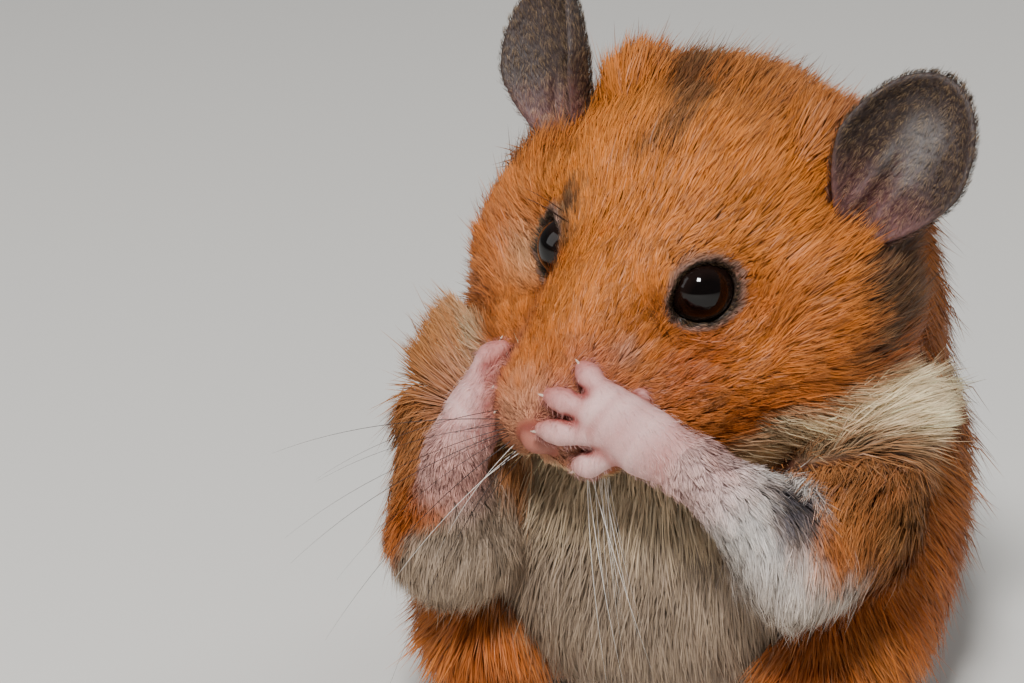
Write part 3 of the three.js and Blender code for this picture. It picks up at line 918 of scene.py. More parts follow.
def patch(points, middle, half, soft=0.5):
    """1 inside an ellipsoid, fading to 0 about its edge."""
    reach = length_of((points - np.asarray(middle)) / np.asarray(half))
    return smooth(1 + soft, 1 - soft, reach)


print("patches waver by", mottle(skin_points, 2.2, 1).std().round(2), "about nothing")

# %% [markdown]
# ## Markings of the head
#
# The smoky marks are what gives this head its face: a streak on the crown, a spot over the eye, the
# flash behind the cheek. Each is an ellipsoid in the head's frame with a ragged edge, so it stays in
# place when the head is turned.

# %% Markings of the head
CROWN_STREAK = [[-5.2, 18, 8.8], [-2.4, 12, 9.4], [-0.1, 7.4, 9.4], [1.6, 4.2, 8.8]]


def head_markings(q, fine, colour):
    """The head and the sides of the neck: golden above, deep orange on the cheek, smoky marks."""
    colour = mixed(colour, GOLDEN, smooth(-3, 4, q[:, 2]) * smooth(22, 10, q[:, 1]))
    marks = [
        ([-0.5, 3.5, 9.0], [1.0, 1.8, 1.5], 0.7),  # a fleck before the streak
        ([1, 18, 10], [12, 8, 6], 0.4),  # between the ears
        ([-6.8, -0.8, 4.8], [2.0, 2.4, 1.7], 0.9),  # over the right eye
        ([-5.2, -3.2, 3.0], [1.2, 1.8, 1.8], 0.7),  # and on its side by the nose
        ([-5.5, -6.4, 0.3], [1.2, 1.6, 1.0], 0.75),
        ([13.4, -8.4, -5.9], [1.3, 1.6, 1.3], 0.5),  # on the cheek, behind the whiskers
    ]
    for side in SIDES.values():
        marks += [
            ([side * 20.6, 8.6, -2.6], [3.4, 3.8, 2.6], 0.95),  # the smoky flash
            ([side * 21.6, 6.4, -6.2], [3.2, 4.8, 2.0], 0.9),
            ([side * 20.0, 13, -6.0], [4.0, 5.0, 5.0], 0.75),
        ]
    streak = limb(q, CROWN_STREAK, [2.5, 2.2, 1.7, 1.0])
    colour = mixed(colour, SMOKE, 0.75 * smooth(1.1, -1.1, streak + 1.4 * fine))
    for middle, half, strength in marks:
        colour = mixed(colour, SMOKE, strength * patch(q + fine[:, None], middle, half, 0.55))
    from_nose = length_of(q - np.array(NOSE[0]))
    colour = mixed(colour, MUZZLE_TAN, 0.75 * smooth(7.5, 2.5, from_nose + fine))
    return mixed(colour, THIN_FUR, 0.6 * patch(q, [6.9, -11.2, -1.2], [2.2, 2.0, 1.6], 0.6))


print("streak on the crown:", round(float(length_of(np.diff(CROWN_STREAK, axis=0)).sum()), 1), "mm long")

# %% [markdown]
# ## Markings of the whole animal
#
# One function of the place on the animal gives its colour, and both the skin and every hair root
# ask it, so that coat and skin always agree. It goes from the large to the small: coat, crescents
# and sleeves, then bare hands, ears, lids and nose.

# %% Markings of the whole animal
SLEEVE_ENDS = np.array([0.68, -0.35, 0.64])  # across the arm, from the pale side to the orange one


def coat_markings(p, q, share, region, ragged, fine):
    """Linear colour of the furred parts."""
    base = mixed(np.broadcast_to(ORANGE, p.shape), GOLDEN, 0.5 + 0.5 * mottle(p, 5.0, 3))
    on_arm = region["upper_arm_left"] + region["upper_arm_right"]
    # darker brown towards the back: partly the coat's own colour, partly painted shade away from the
    # light
    on_back = 0.5 * smooth(-6, 14, p[:, 1])
    colour = mixed(base, BROWN, 0.65 * on_arm + on_back + 0.3 * smooth(0.2, 0.9, mottle(p, 3.2, 4)))
    colour = mixed(colour, head_markings(q, fine, base), region["head"])
    belly = smooth(-5, -12, p[:, 1] + ragged) * smooth(20, 14, np.abs(p[:, 0] + 0.5) + ragged)
    belly_tone = mixed(np.broadcast_to(ASH, p.shape), CREAM, 0.8 * smooth(26, 38, p[:, 2]))
    colour = mixed(colour, belly_tone, belly * region["torso"])
    chin = smooth(-10.4, -12.2, q[:, 2] + 0.5 * ragged) * smooth(10, 6, np.abs(q[:, 0]) + 0.5 * ragged)
    colour = mixed(colour, CREAM, chin * region["head"])
    away_from_limbs = 1 - share[:, OUTER:].sum(1)
    for name, side in SIDES.items():
        under = in_crescent(p + [0, 0, 1.6], side, 0.6, 1.0)
        colour = mixed(colour, BROWN * 0.6, 0.35 * under * region["upper_arm_left"])
        crescent = in_crescent(p + 0.3 * fine[:, None], side)
        colour = mixed(colour, CREAM, crescent * (away_from_limbs if side > 0 else region["head"]))
        outer = ((p - np.array(ELBOW[name])) * [side, 1, 1]) @ SLEEVE_ENDS
        arm = region["upper_arm_" + name] + region["forearm_" + name]
        colour = mixed(colour, base, region["forearm_" + name])
        sleeve = np.broadcast_to(WHITE if side > 0 else ASH, p.shape)
        sleeve = mixed(sleeve, ASH, 0.6 * smooth(35, 27, p[:, 2]))
        by_bone = smooth(3.6, 1.2, limb(p, [ELBOW[name], WRIST[name]], ARM_BONE) + 0.5 * ragged)
        colour = mixed(colour, sleeve, smooth(5.0, 3.5, outer + 0.5 * ragged) * by_bone * arm)
        at_wrist = smooth(6.5, 2, length_of(p - np.array(WRIST[name])))
        colour = mixed(colour, PINK, 0.8 * at_wrist * region["forearm_" + name])
    blot = patch(p + fine[:, None] * 0.5, [16.9, -28.4, 36.0], [2.3, 3.2, 3.2], 0.45)
    return mixed(colour, SLATE, 0.95 * blot * (region["forearm_left"] + region["upper_arm_left"]))


def markings(p, share):
    """Linear colour of the coat, or of bare skin, at points of the animal."""
    q = into_head(p)
    region = {name: share[:, i] for i, name in enumerate(REGIONS)}
    ragged = mottle(p, 2.2, 1) * 0.9 + mottle(p, 0.9, 2) * 0.5
    fine = mottle(p, 1.1, 5) * 0.6 + mottle(p, 0.45, 6) * 0.7
    colour = coat_markings(p, q, share, region, ragged, fine)
    for name, side in SIDES.items():
        palm = out_of_head(HANDS[name]["palm"])
        # painted shade: the hand is darker and redder on its side towards the muzzle, between hand and
        # face
        gripping = length_of(p - MUZZLE_HEART) - length_of(palm - MUZZLE_HEART)
        shade_by_muzzle = 0.75 * smooth(0.8, -1.6, gripping + 0.4 * ragged)
        flesh_tone = mixed(np.broadcast_to(PINK, p.shape), FLUSH_AND_SHADE, shade_by_muzzle)
        to_palm = length_of(p - palm)
        flesh_tone = mixed(flesh_tone, FLUSH_AND_SHADE, 0.3 * smooth(3.5, 8, to_palm))
        colour = mixed(colour, flesh_tone, region["hand_" + name])
        colour = mixed(colour, PINK, region["foot_" + name])
        up_ear, across_ear, _, before_ear = ear_place(q * [side, 1, 1])
        pinker = smooth(0.5, 0.2, up_ear) * smooth(-0.6, 0.2, before_ear)
        ear_tone = mixed(np.broadcast_to(EAR_GREY, p.shape), EAR_PINK, pinker)
        # painted sheen on the inside of the left ear only
        if side > 0:
            sheen = smooth(0.3, 0.5, up_ear) * smooth(0.85, 0.65, up_ear)
            sheen = sheen * smooth(3.2, 0.6, np.abs(across_ear - 0.6))
            ear_tone = mixed(ear_tone, EAR_PAINTED_SHEEN, 0.5 * sheen * smooth(-0.3, 0.3, before_ear))
        colour = mixed(colour, ear_tone, region["ear_" + name])
        eye_gap = length_of(q - np.array([side * EYE_ASIDE, 0, 0])) - EYE_RADIUS
        colour = mixed(colour, LID_GREY, 0.8 * smooth(1.0, 0.6, eye_gap))
        colour = mixed(colour, SMOKE * 0.5, smooth(0.6, 0.36, eye_gap))
    corner = patch(q, [7.3, -5.0, -1.1], [1.6, 1.2, 0.9], 0.5)
    colour = mixed(colour, SMOKE, 0.85 * corner)
    colour = mixed(colour, PINK, region["tail"])
    return mixed(colour, NOSE_PINK, smooth(2.4, 1.6, length_of(q - np.array(NOSE[0]))))


crown = np.array([out_of_head([0, 12, 10])])
on_crown = weights_of(flesh(crown)[1])
print("the crown's colour, in linear light:", markings(crown, on_crown)[0].round(3))

# %% [markdown]
# ## The skin's colours
#
# The folds and creases of the skin are painted darker and redder, as painted shade. How deep a
# fold is can be read from the distance itself: it is how fast the slope turns there.

# %% The skin's colours
skin_colours = markings(skin_points, belongs)
bends = sum(np.gradient(slope, axis=i) for i, slope in enumerate(slopes)) / VOXEL ** 2
# painted shade: the skin is darker and redder where it folds inwards
folds = smooth(0.7, -0.3, look_up([bends], skin_points)[0])
skin_colours = mixed(skin_colours, skin_colours * FOLD_SHADE_TINT, folds)
print("mean colour, linear:", skin_colours.mean(0).round(3))

# %% [markdown]
# ## A map of the skin
#
# An exported model carries its colours on a flat map. Every tuft gets a small patch on that map at
# the place of its root, so the skin is unwrapped first, into islands that don't overlap.

# %% Unwrapping the skin
bpy.context.view_layer.objects.active = skin
skin.select_set(True)
bpy.ops.object.mode_set(mode="EDIT")
bpy.ops.mesh.select_all(action="SELECT")
bpy.ops.uv.smart_project(angle_limit=math.radians(66), island_margin=0.004)
bpy.ops.object.mode_set(mode="OBJECT")
skin.data.calc_loop_triangles()
triangle_loops = np.empty(len(skin.data.loop_triangles) * 3, np.int32)
skin.data.loop_triangles.foreach_get("loops", triangle_loops)
loop_points = np.empty(len(skin.data.loops), np.int32)
skin.data.loops.foreach_get("vertex_index", loop_points)
unwrapped = np.empty(len(skin.data.loops) * 2, np.float32)
skin.data.uv_layers.active.data.foreach_get("uv", unwrapped)
triangle_places = unwrapped.reshape(-1, 2)[triangle_loops].reshape(-1, 3, 2)
triangles = loop_points[triangle_loops].reshape(-1, 3)
print("triangles of the skin:", len(triangles))

# %% [markdown]
# ## The coat
#
# Each tuft is a slim diamond: a point at the root, two edges half way, a point at the tip. It rises
# steeply, then bends to lie along the body. Real hairs gather in small locks whose tips meet, which
# is what gives a coat its streaks, so each blade leans towards the middle of its lock. Curves with
# a hair material would be finer, but an export leaves them out. The blades are worked out all at
# once as arrays, which takes seconds where an object for each would take hours.

# %% Where the tufts grow
random = np.random.default_rng(11)
LOCK = 1.3  # mm from one lock's middle to the next
LEAST_HAIR = 0.3  # mm; shorter hair is left out


def lock_middles(points, size, salt):
    """The nearest of the scattered middles of locks, about one to each cell of that size."""
    home = np.floor(points / size).astype(np.int64)
    best = np.full(len(points), np.inf)
    nearest = np.array(points)
    number = np.zeros(len(points))
    for step in np.ndindex(3, 3, 3):
        cell = home + np.array(step) - 1
        spot = (cell + np.stack([hashed(cell, salt + i) for i in range(3)], -1)) * size
        away = length_of(points - spot)
        nearer = away < best
        best[nearer] = away[nearer]
        nearest[nearer] = spot[nearer]
        number[nearer] = hashed(cell[nearer], salt + 3)
    return nearest, number


def roots():
    corner = skin_points[triangles]
    area = length_of(np.cross(corner[:, 1] - corner[:, 0], corner[:, 2] - corner[:, 0])) / 2
    crowd = np.where(hair_length > LEAST_HAIR, hair_crowd, 0)[triangles].mean(1)
    chosen = np.repeat(np.arange(len(triangles)), random.poisson(area * crowd))
    u, v = random.random(len(chosen)), random.random(len(chosen))
    flip = u + v > 1
    u, v = np.where(flip, 1 - u, u), np.where(flip, 1 - v, v)
    return chosen, np.stack([1 - u - v, u, v], 1)


chosen, mix = roots()


def on_roots(values):
    picked = values[triangles[chosen]]
    return (picked * (mix[:, :, None] if picked.ndim == 3 else mix)).sum(1)


root = on_roots(skin_points)
count = len(root)
print("tufts before thinning:", count)

# %% [markdown]
# ## How a tuft lies
#
# The skin's plan gives each root a direction, a length and a width; chance makes every tuft differ a
# little. One in twenty is a guard hair, longer, thinner and steeper than the wool about it. In the
# crescent the hairs stand higher, since there they stream over the arm.

# %% How a tuft lies
GUARDS = 0.05  # the share of guard hairs
ROOT_RISE, TIP_RISE, RISE_VARIES = 30, 10, 6  # degrees off the skin
normal = unit(on_roots(skin_normals))
along = on_roots(flow)
along = unit(along - (along * normal).sum(1, keepdims=True) * normal)
length = on_roots(hair_length)
width = on_roots(hair_width)
middle, lock_number = lock_middles(root, LOCK, 40)
stray = unit(random.normal(size=(count, 3)))
stray = stray - (stray * normal).sum(1, keepdims=True) * normal
swerve = mottle(root, 4.0, 9)[:, None] * np.cross(normal, along)
direction = unit(along + 0.2 * stray + 0.2 * swerve)
length = length * random.uniform(0.7, 1.15, count) * (0.9 + 0.2 * lock_number)
guard = random.random(count) < GUARDS
length = np.where(guard, length * 1.25, length)
steep = np.radians(random.normal(ROOT_RISE, RISE_VARIES, count) + 8 * guard)
shallow = np.radians(random.normal(TIP_RISE, RISE_VARIES, count) + 8 * guard)
root_belongs = on_roots(belongs)
raised = sum(in_crescent(root, side) for side in SIDES.values())
raised = raised * (1 - root_belongs[:, OUTER:].sum(1))
steep, shallow = steep + np.radians(14) * raised, shallow + np.radians(8) * raised
pull = (middle - root) - ((middle - root) * normal).sum(1, keepdims=True) * normal
pull = pull * np.minimum(1, 0.28 * length / np.maximum(length_of(pull), 1e-6))[:, None]


def along_hair(angle):
    """The step over half a hair that rises at an angle from the skin."""
    return 0.5 * length[:, None] * (np.cos(angle)[:, None] * direction + np.sin(angle)[:, None] * normal)


half_way = root + along_hair(steep) + 0.3 * pull
tip = half_way + along_hair(shallow) + 0.6 * pull
print("guard hairs:", int(guard.sum()))

# %% [markdown]
# ## Thinning and shaping
#
# A tuft whose tip would end deep in the skin of a fold, or that would touch an eyeball, is left
# out, and a tip that only grazes the skin is lifted. Each blade is rolled a little about its
# length. Its shading normal lies between that of the skin and its own, so the coat takes the light
# as one soft surface and not as half a million mirrors.

# %% Thinning and shaping the tufts
CLEARANCE = 0.12  # mm between a tip and the skin, and between a tuft and an eyeball
clear = skin_distance(tip)
keep = (clear > -0.5) & (length > LEAST_HAIR)
for side in SIDES.values():
    eyeball = out_of_head([side * EYE_ASIDE, 0, 0])
    for point in (half_way, tip):
        keep &= length_of(point - eyeball) > EYE_RADIUS + CLEARANCE
tip = tip + normal * np.clip(CLEARANCE - clear, 0, 0.8)[:, None]
roll = np.radians(np.clip(random.normal(0, 28, count), -60, 60))[:, None]
flat = np.cos(roll) * normal - np.sin(roll) * np.cross(direction, normal)
side_ways = np.cross(direction, flat)
half_width = (width * random.uniform(0.4, 0.6, count) * np.where(guard, 0.7, 1))[:, None]
to_edge = side_ways * half_width
blades = np.stack([root - 0.1 * normal, half_way - to_edge, half_way + to_edge, tip], 1)
blades[:, :, 2] = np.maximum(blades[:, :, 2], 0.02)  # none reaches through the floor
BLADE_FACES = np.array([[0, 2, 1], [1, 2, 3]])
shading = unit(0.6 * normal + 0.5 * flat + 0.3 * stray)
PATCH = 0.003  # of the map, across one tuft's patch
BLADE_PATCH = PATCH * np.array([[0, -0.5], [-0.4, 0], [0.4, 0], [0, 0.5]])
place_on_map = (triangle_places[chosen] * mix[:, :, None]).sum(1)
print("tufts kept:", int(keep.sum()))

# %% [markdown]
# ## Colouring the tufts
#
# A hamster's hair is banded: dark at the root, full in its colour half way, paler at the tip, and a
# painted highlight lightens the tip further. So each blade carries a colour at each of its four
# points, from its root's place in the markings.
# Locks differ in tone, and some guard hairs of the trunk and head are dark at the tip, which is
# called ticking.

# %% Colouring the tufts
root_colour = markings(root, root_belongs)
tone = (0.81 + 0.36 * lock_number + random.normal(0, 0.12, count))[:, None]
on_ear = root_belongs[:, -2:].sum(1)
# painted highlight: each tip is mixed towards pale gold and brightened, over its real paler colour
tip_and_glint = mixed(root_colour, PALE_TIP_AND_GLINT, (0.16 + 0.3 * on_ear) * random.random(count))
ticked = guard & (random.random(count) < 0.45) & (root_belongs[:, :3].sum(1) > 0.5)
tip_and_glint[ticked] = SMOKE
band = root_colour * 0.95
blade_colours = np.stack([root_colour * 0.5, band, band, tip_and_glint * 1.12], 1)
blade_colours = np.clip(blade_colours * tone[:, None], 0, 0.9)
print("ticked hairs:", int(ticked.sum()))

# %% [markdown]
# ## Joining the tufts
#
# Half a million objects would be too many for any scene, and one object too large for a game. The
# tufts are joined by the part of the body they grow on, so that each piece can be shown, hidden or
# thinned for itself. Their patches on the map lie at their roots' places.

# %% Joining the tufts into pieces
root_region = PARTS[root_belongs.argmax(1)]
in_head = into_head(root)
of_head = np.where(in_head[:, 2] > -4, "crown", "cheeks")
of_head = np.where(in_head[:, 1] < -1, "face", of_head)
of_torso = np.where(normal[:, 1] > 0.35, "back", "flanks")
of_torso = np.where(normal[:, 1] < -0.35, "belly", of_torso)
group = np.where(root_region == "head", of_head, root_region)
group = np.where(group == "torso", of_torso, group)
group = np.where(np.isin(group, ["hand", "foot", "tail"]), "feet_and_tail", group)
SLOTS = {
    "forearm": "pale_coat",
    "belly": "pale_coat",
    "ear": "ear_skin",
    "feet_and_tail": "bare_skin",
}
MOST = 90000  # tufts in one piece


def set_colours(piece, colours):
    """Gives each point of a piece its linear colour, under the name that the finishes read."""
    with_alpha = np.ones((len(colours), 4), np.float32)
    with_alpha[:, :3] = colours
    layer = piece.data.attributes.new("marking", "FLOAT_COLOR", "POINT")
    layer.data.foreach_set("color", with_alpha.ravel())


def tufts_piece(name, members):
    """One piece of the coat from the numbers of its tufts."""
    faces = (BLADE_FACES + 4 * np.arange(len(members))[:, None, None]).reshape(-1, 3)
    piece = make_object(name, blades[members].reshape(-1, 3), faces)
    on_map = (place_on_map[members][:, None] + BLADE_PATCH).reshape(-1, 2)
    layer = piece.data.uv_layers.new(name="OFBake")
    layer.data.foreach_set("uv", on_map[faces.ravel()].astype(np.float32).ravel())
    set_colours(piece, blade_colours[members].reshape(-1, 3))
    piece.data.normals_split_custom_set_from_vertices(np.repeat(shading[members], 4, 0))
    return piece


coat = []
for name in sorted(set(group)):
    members = np.flatnonzero((group == name) & keep)
    for part in range(0, len(members), MOST):
        piece = tufts_piece(f"coat_{name}_{part // MOST + 1}", members[part:part + MOST])
        piece["slot"] = SLOTS.get(name, "golden_coat")
        coat.append(piece)
        print(piece.name, len(piece.data.polygons), "triangles")

# %% [markdown]
# ## Eyeballs
#
# The eye of a hamster is all pupil and dark iris, under a clear cornea that bulges a little and is
# always wet. A ball with the cornea's bulge is enough, since its look comes from its gloss.

# %% Eyeballs
CORNEA = 0.035  # how far it bulges, as a share of the ball's radius
eyeballs = []
for name, side in SIDES.items():
    ball = bmesh.new()
    bmesh.ops.create_icosphere(ball, subdivisions=5, radius=1.0)
    mesh = bpy.data.meshes.new("eyeball_" + name)
    ball.to_mesh(mesh)
    ball.free()
    eyeball = bpy.data.objects.new("eyeball_" + name, mesh)
    bpy.context.scene.collection.objects.link(eyeball)
    directions = np.empty(len(mesh.vertices) * 3, np.float32)
    mesh.vertices.foreach_get("co", directions)
    directions = unit(directions.reshape(-1, 3).astype(float))
    ahead = directions @ (GAZES[side] * [side, 1, 1])
    bulge = EYE_RADIUS * (1 + CORNEA * smooth(0.62, 1.0, ahead))
    move_points(eyeball, out_of_head(directions * bulge[:, None] + [side * EYE_ASIDE, 0, 0]))
    mesh.polygons.foreach_set("use_smooth", np.full(len(mesh.polygons), True))
    ring = mesh.attributes.new("ahead", "FLOAT", "POINT")
    ring.data.foreach_set("value", ahead.astype(np.float32))
    eyeballs.append(eyeball)
print("eyeballs", [e.name for e in eyeballs])

# %% [markdown]
# ## Claws and whiskers
#
# Both are horn, as hair is: short curved cones on fingers and toes, and long tapered bristles that
# sweep from the pads beside the nose. Each is a tube along a curve, with a width that runs to a
# point. One helper makes them all, and they are joined, because a hundred small objects would only
# slow the scene down.

# %% A tapered tube
def tube(points, widths, sides):
    """Points and triangles of a round tube that closes at its last point."""
    points = np.asarray(points, float)
    forward = unit(np.gradient(points, axis=0))
    helper = np.where(np.abs(forward[:, 2:]) < 0.9, [[0, 0, 1.0]], [[1.0, 0, 0]])
    across = unit(np.cross(forward, helper))
    lift = np.cross(across, forward)
    turns = np.arange(sides) / sides * 2 * math.pi
    rings = points[:, None] + np.asarray(widths)[:, None, None] * (
        np.cos(turns)[None, :, None] * across[:, None] + np.sin(turns)[None, :, None] * lift[:, None])
    faces = []
    for i in range(len(points) - 1):
        for j in range(sides):
            a, b = i * sides + j, i * sides + (j + 1) % sides
            faces += [[a, b, b + sides], [a, b + sides, a + sides]]
    return rings.reshape(-1, 3), np.array(faces)


def joined(name, tubes):
    total, points, faces = 0, [], []
    for tube_points, tube_faces in tubes:
        points.append(tube_points)
        faces.append(tube_faces + total)
        total += len(tube_points)
    return make_object(name, np.concatenate(points), np.concatenate(faces))


print("a square tube of two rings has", len(tube([[0, 0, 0], [0, 0, 1]], [1, 1], 4)[1]), "triangles")

# %% [markdown]
# ## Claws
#
# Each sits on the last swelling of its finger or toe and carries on its line, bent down. Those of
# the feet are longer and stouter, for digging.

# %% Claws
CLAW_SHAPE = np.array([1, 0.92, 0.75, 0.5, 0.06])  # widths from root to tip, as shares of the first


def claw(spine, length, width, droop):
    end = np.asarray(spine[-1], float)
    forward = unit(end - np.asarray(spine[-2], float))
    steps = np.linspace(0, 1, len(CLAW_SHAPE))[:, None]
    curve = end + forward * (steps * length) + np.array(droop) * (steps ** 2 * length)
    curve[:, 2] = np.maximum(curve[:, 2], width)  # a toe's claw lies on the floor, not in it
    return tube(curve, width * CLAW_SHAPE, 7)


claws = []
for name, side in SIDES.items():
    for spine in fingers_of(name):
        outwards = unit(spine[-1] - MUZZLE_HEART)
        lifted = [spine[-2] - 0.25 * outwards, spine[-1] + 0.35 * outwards]
        claws.append(claw(lifted, 1.25, 0.21, -0.3 * outwards))
    for spine in toes_of(side):
        lifted = [np.array(spine[-2]) + [0, 0, 0.25], np.array(spine[-1]) + [0, 0, 0.35]]
        claws.append(claw(lifted, 2.1, 0.32, [0, 0, -0.25]))
claws = joined("claws", claws)
print("claws", len(claws.data.polygons), "triangles")

# %% [markdown]
# ## Whiskers
#
# A hamster's whiskers stand in rows on the pads beside the nose, with a few over each eye. They are
# stiff at the root and thin towards the tip, so gravity and growth bend them backwards and down.
# Those on the lit side are nearly white, those on the other mostly dark.

# %% Whiskers
WHISKER_WIDTH = 0.055  # half of it, in mm, at the root
WHISKER_ROW = 0.9  # from the root of one to the next, down the cheek
SWEEP = np.array([0, 0.33, -0.3])  # backwards and down at the tip, as shares of the length
# The first root in the head's frame, a length in mm, and headings in degrees: round and down.
FANS = {
    "left": ([2.6, -14.6, -10.4], 19, [(-50, 50), (-60, 62), (-70, 74)]),
    "right": ([-3.2, -16.8, -7.4], 27, [(-152, -6), (-140, 12), (-136, 28), (-132, 46)]),
}


def whisker(start, around, down, length, width=WHISKER_WIDTH):
    a, d = math.radians(around), math.radians(down)
    heading = np.array([math.cos(d) * math.cos(a), math.cos(d) * math.sin(a), -math.sin(d)])
    steps = np.linspace(0, 1, 16)[:, None]
    curve = start + length * (heading * steps + SWEEP * steps ** 2)
    return tube(curve, width * (1 - 0.9 * steps[:, 0]), 4)


dark, pale = [], []
for name, (top, length, headings) in FANS.items():
    bristles = dark if name == "right" else pale
    for row, (around, down) in enumerate(headings):
        start = out_of_head(np.array(top) - [0, 0, row * WHISKER_ROW])
        bristles.append(whisker(start, around, down, length))
    for extra in range(11):
        row = random.uniform(0, len(headings) - 1)
        around, down = [np.interp(row, range(len(headings)), angles) for angles in zip(*headings)]
        spot = np.array(top) + [0, random.uniform(0, 2.5), 0] - [0, 0, row * WHISKER_ROW]
        start = onto_skin(out_of_head(spot)[None], 4)[0]
        around += random.uniform(-12, 12)
        down += random.uniform(-10, 10)
        short = length * random.uniform(0.45, 0.95)
        bristle = whisker(start, around, down, short, WHISKER_WIDTH * random.uniform(0.5, 0.8))
        (dark if name == "right" and random.random() < 0.7 else pale).append(bristle)
    side = SIDES[name]
    for place in ([8.2, -3.4, 7.0], [8.9, -2.2, 7.4], [7.2, -3.6, 7.4]):
        start = onto_skin(out_of_head(np.array(place) * [side, 1, 1])[None], 4)[0]
        dark.append(whisker(start, -90 + side * 40 + random.uniform(-8, 8), -40, 8.5, 0.045))
whiskers_dark = joined("whiskers_dark", dark)
whiskers_pale = joined("whiskers_pale", pale)
print("whiskers", len(dark), "dark and", len(pale), "pale")

# %% [markdown]
# ## Finishes
#
# Every finish starts from what the real surface is: hair is keratin, dull with a soft sheen; bare
# skin is thin and lets light into it; the eye is wet. Their colours come from the markings, and the
# nodes add what markings cannot: wrinkles, mottling, the streaks in which horn grows. All sizes are
# given in millimetres and turned into the scale of a noise by one helper.

# %% A helper for nodes
def add(material, kind, settings=None, links=None):
    """Adds one node: settings go to its properties or its sockets, links join sockets to it."""
    node = material.node_tree.nodes.new(kind)
    for key, value in (settings or {}).items():
        if isinstance(key, str) and hasattr(node, key):
            setattr(node, key, value)
        else:
            node.inputs[key].default_value = value
    for key, socket in (links or {}).items():
        material.node_tree.links.new(socket, node.inputs[key])
    return node


def finish(name):
    material = bpy.data.materials.new(name)
    material.use_nodes = True
    return material, material.node_tree.nodes["Principled BSDF"]


def join(material, socket, into, name):
    material.node_tree.links.new(socket, into.inputs[name])


def waves(size):
    """The scale of a noise whose patches are a size in mm across."""
    return 1 / (size * METRES)


def rgba(colour):
    return (*[float(c) for c in colour], 1.0)


print("a noise with patches of 1 mm has the scale", round(waves(1)))

# %% [markdown]
# ## Hair
#
# A hair is a smooth rod of keratin, so a single one glints. A tuft stands for several, whose glints
# spread, which is why the gloss is weaker and wider here. The bands are in the points' colours.

# %% Hair
# Keratin: a soft, broad sheen over the banded colour, never a sharp glint.
hair, shader = finish("keratin_hair")
marking = add(hair, "ShaderNodeAttribute", {"attribute_name": "marking"})
join(hair, marking.outputs["Color"], shader, "Base Color")
shader.inputs["Roughness"].default_value = 0.45
shader.inputs["IOR"].default_value = 1.55
shader.inputs["Specular IOR Level"].default_value = 0.18
print(hair.name, "has", len(hair.node_tree.nodes), "nodes")

# %% [markdown]
# ## Skin under the fur
#
# Between hairs one looks into wool, which takes up most of the light. The skin there is therefore
# the coat's colour, dimmed by an uneven share, with a bump as coarse as the wool.

# %% Skin under the fur
set_colours(skin, skin_colours)
# Wool in shade: dull, darker than the coat above it, uneven in patches of a millimetre.
furred, shader = finish("skin_under_fur")
marking = add(furred, "ShaderNodeAttribute", {"attribute_name": "marking"})
noise = add(furred, "ShaderNodeTexNoise", {"Scale": waves(1.1), "Detail": 4.0})
dim = add(furred, "ShaderNodeMapRange", {"To Min": 0.4, "To Max": 0.8}, {"Value": noise.outputs["Fac"]})
under = add(furred, "ShaderNodeVectorMath", {"operation": "SCALE"},
            {0: marking.outputs["Color"], "Scale": dim.outputs["Result"]})
join(furred, under.outputs["Vector"], shader, "Base Color")
bump = add(furred, "ShaderNodeBump", {"Strength": 0.5, "Distance": 0.3 * METRES},
           {"Height": noise.outputs["Fac"]})
join(furred, bump.outputs["Normal"], shader, "Normal")
shader.inputs["Roughness"].default_value = 0.8
print(furred.name, "has", len(furred.node_tree.nodes), "nodes")

# %% [markdown]
# ## Bare skin
#
# Hands, feet, ears and nose have thin skin with blood under it. Light enters and comes out redder a
# little further on. Its tone wanders over millimetres, and fine wrinkles break its faint gloss.

# %% Bare skin
# Living skin: soft and slightly moist, with a red glow at thin edges.
bare, shader = finish("bare_skin")
marking = add(bare, "ShaderNodeAttribute", {"attribute_name": "marking"})
flush = add(bare, "ShaderNodeTexNoise", {"Scale": waves(2.4), "Detail": 3.0})
wrinkles = add(bare, "ShaderNodeTexNoise", {"Scale": waves(0.38), "Detail": 4.0})
paler = add(bare, "ShaderNodeMapRange", {"To Min": 0.78, "To Max": 1.15},
            {"Value": flush.outputs["Fac"]})
toned = add(bare, "ShaderNodeVectorMath", {"operation": "SCALE"},
            {0: marking.outputs["Color"], "Scale": paler.outputs["Result"]})
join(bare, toned.outputs["Vector"], shader, "Base Color")
bump = add(bare, "ShaderNodeBump", {"Strength": 0.35, "Distance": 0.12 * METRES},
           {"Height": wrinkles.outputs["Fac"]})
join(bare, bump.outputs["Normal"], shader, "Normal")
shader.inputs["Roughness"].default_value = 0.5
shader.inputs["Subsurface Weight"].default_value = 0.2
shader.inputs["Subsurface Radius"].default_value = (1.0, 0.4, 0.25)
shader.inputs["Subsurface Scale"].default_value = 0.8 * METRES
print(bare.name, "has", len(bare.node_tree.nodes), "nodes")

# %% [markdown]
# ## Wet eye
#
# Seen from ahead a hamster's eye is black, because the pupil fills it. Only towards the rim is there
# a breath of the dark brown iris. All its life is in the sharp reflections on its tear film.

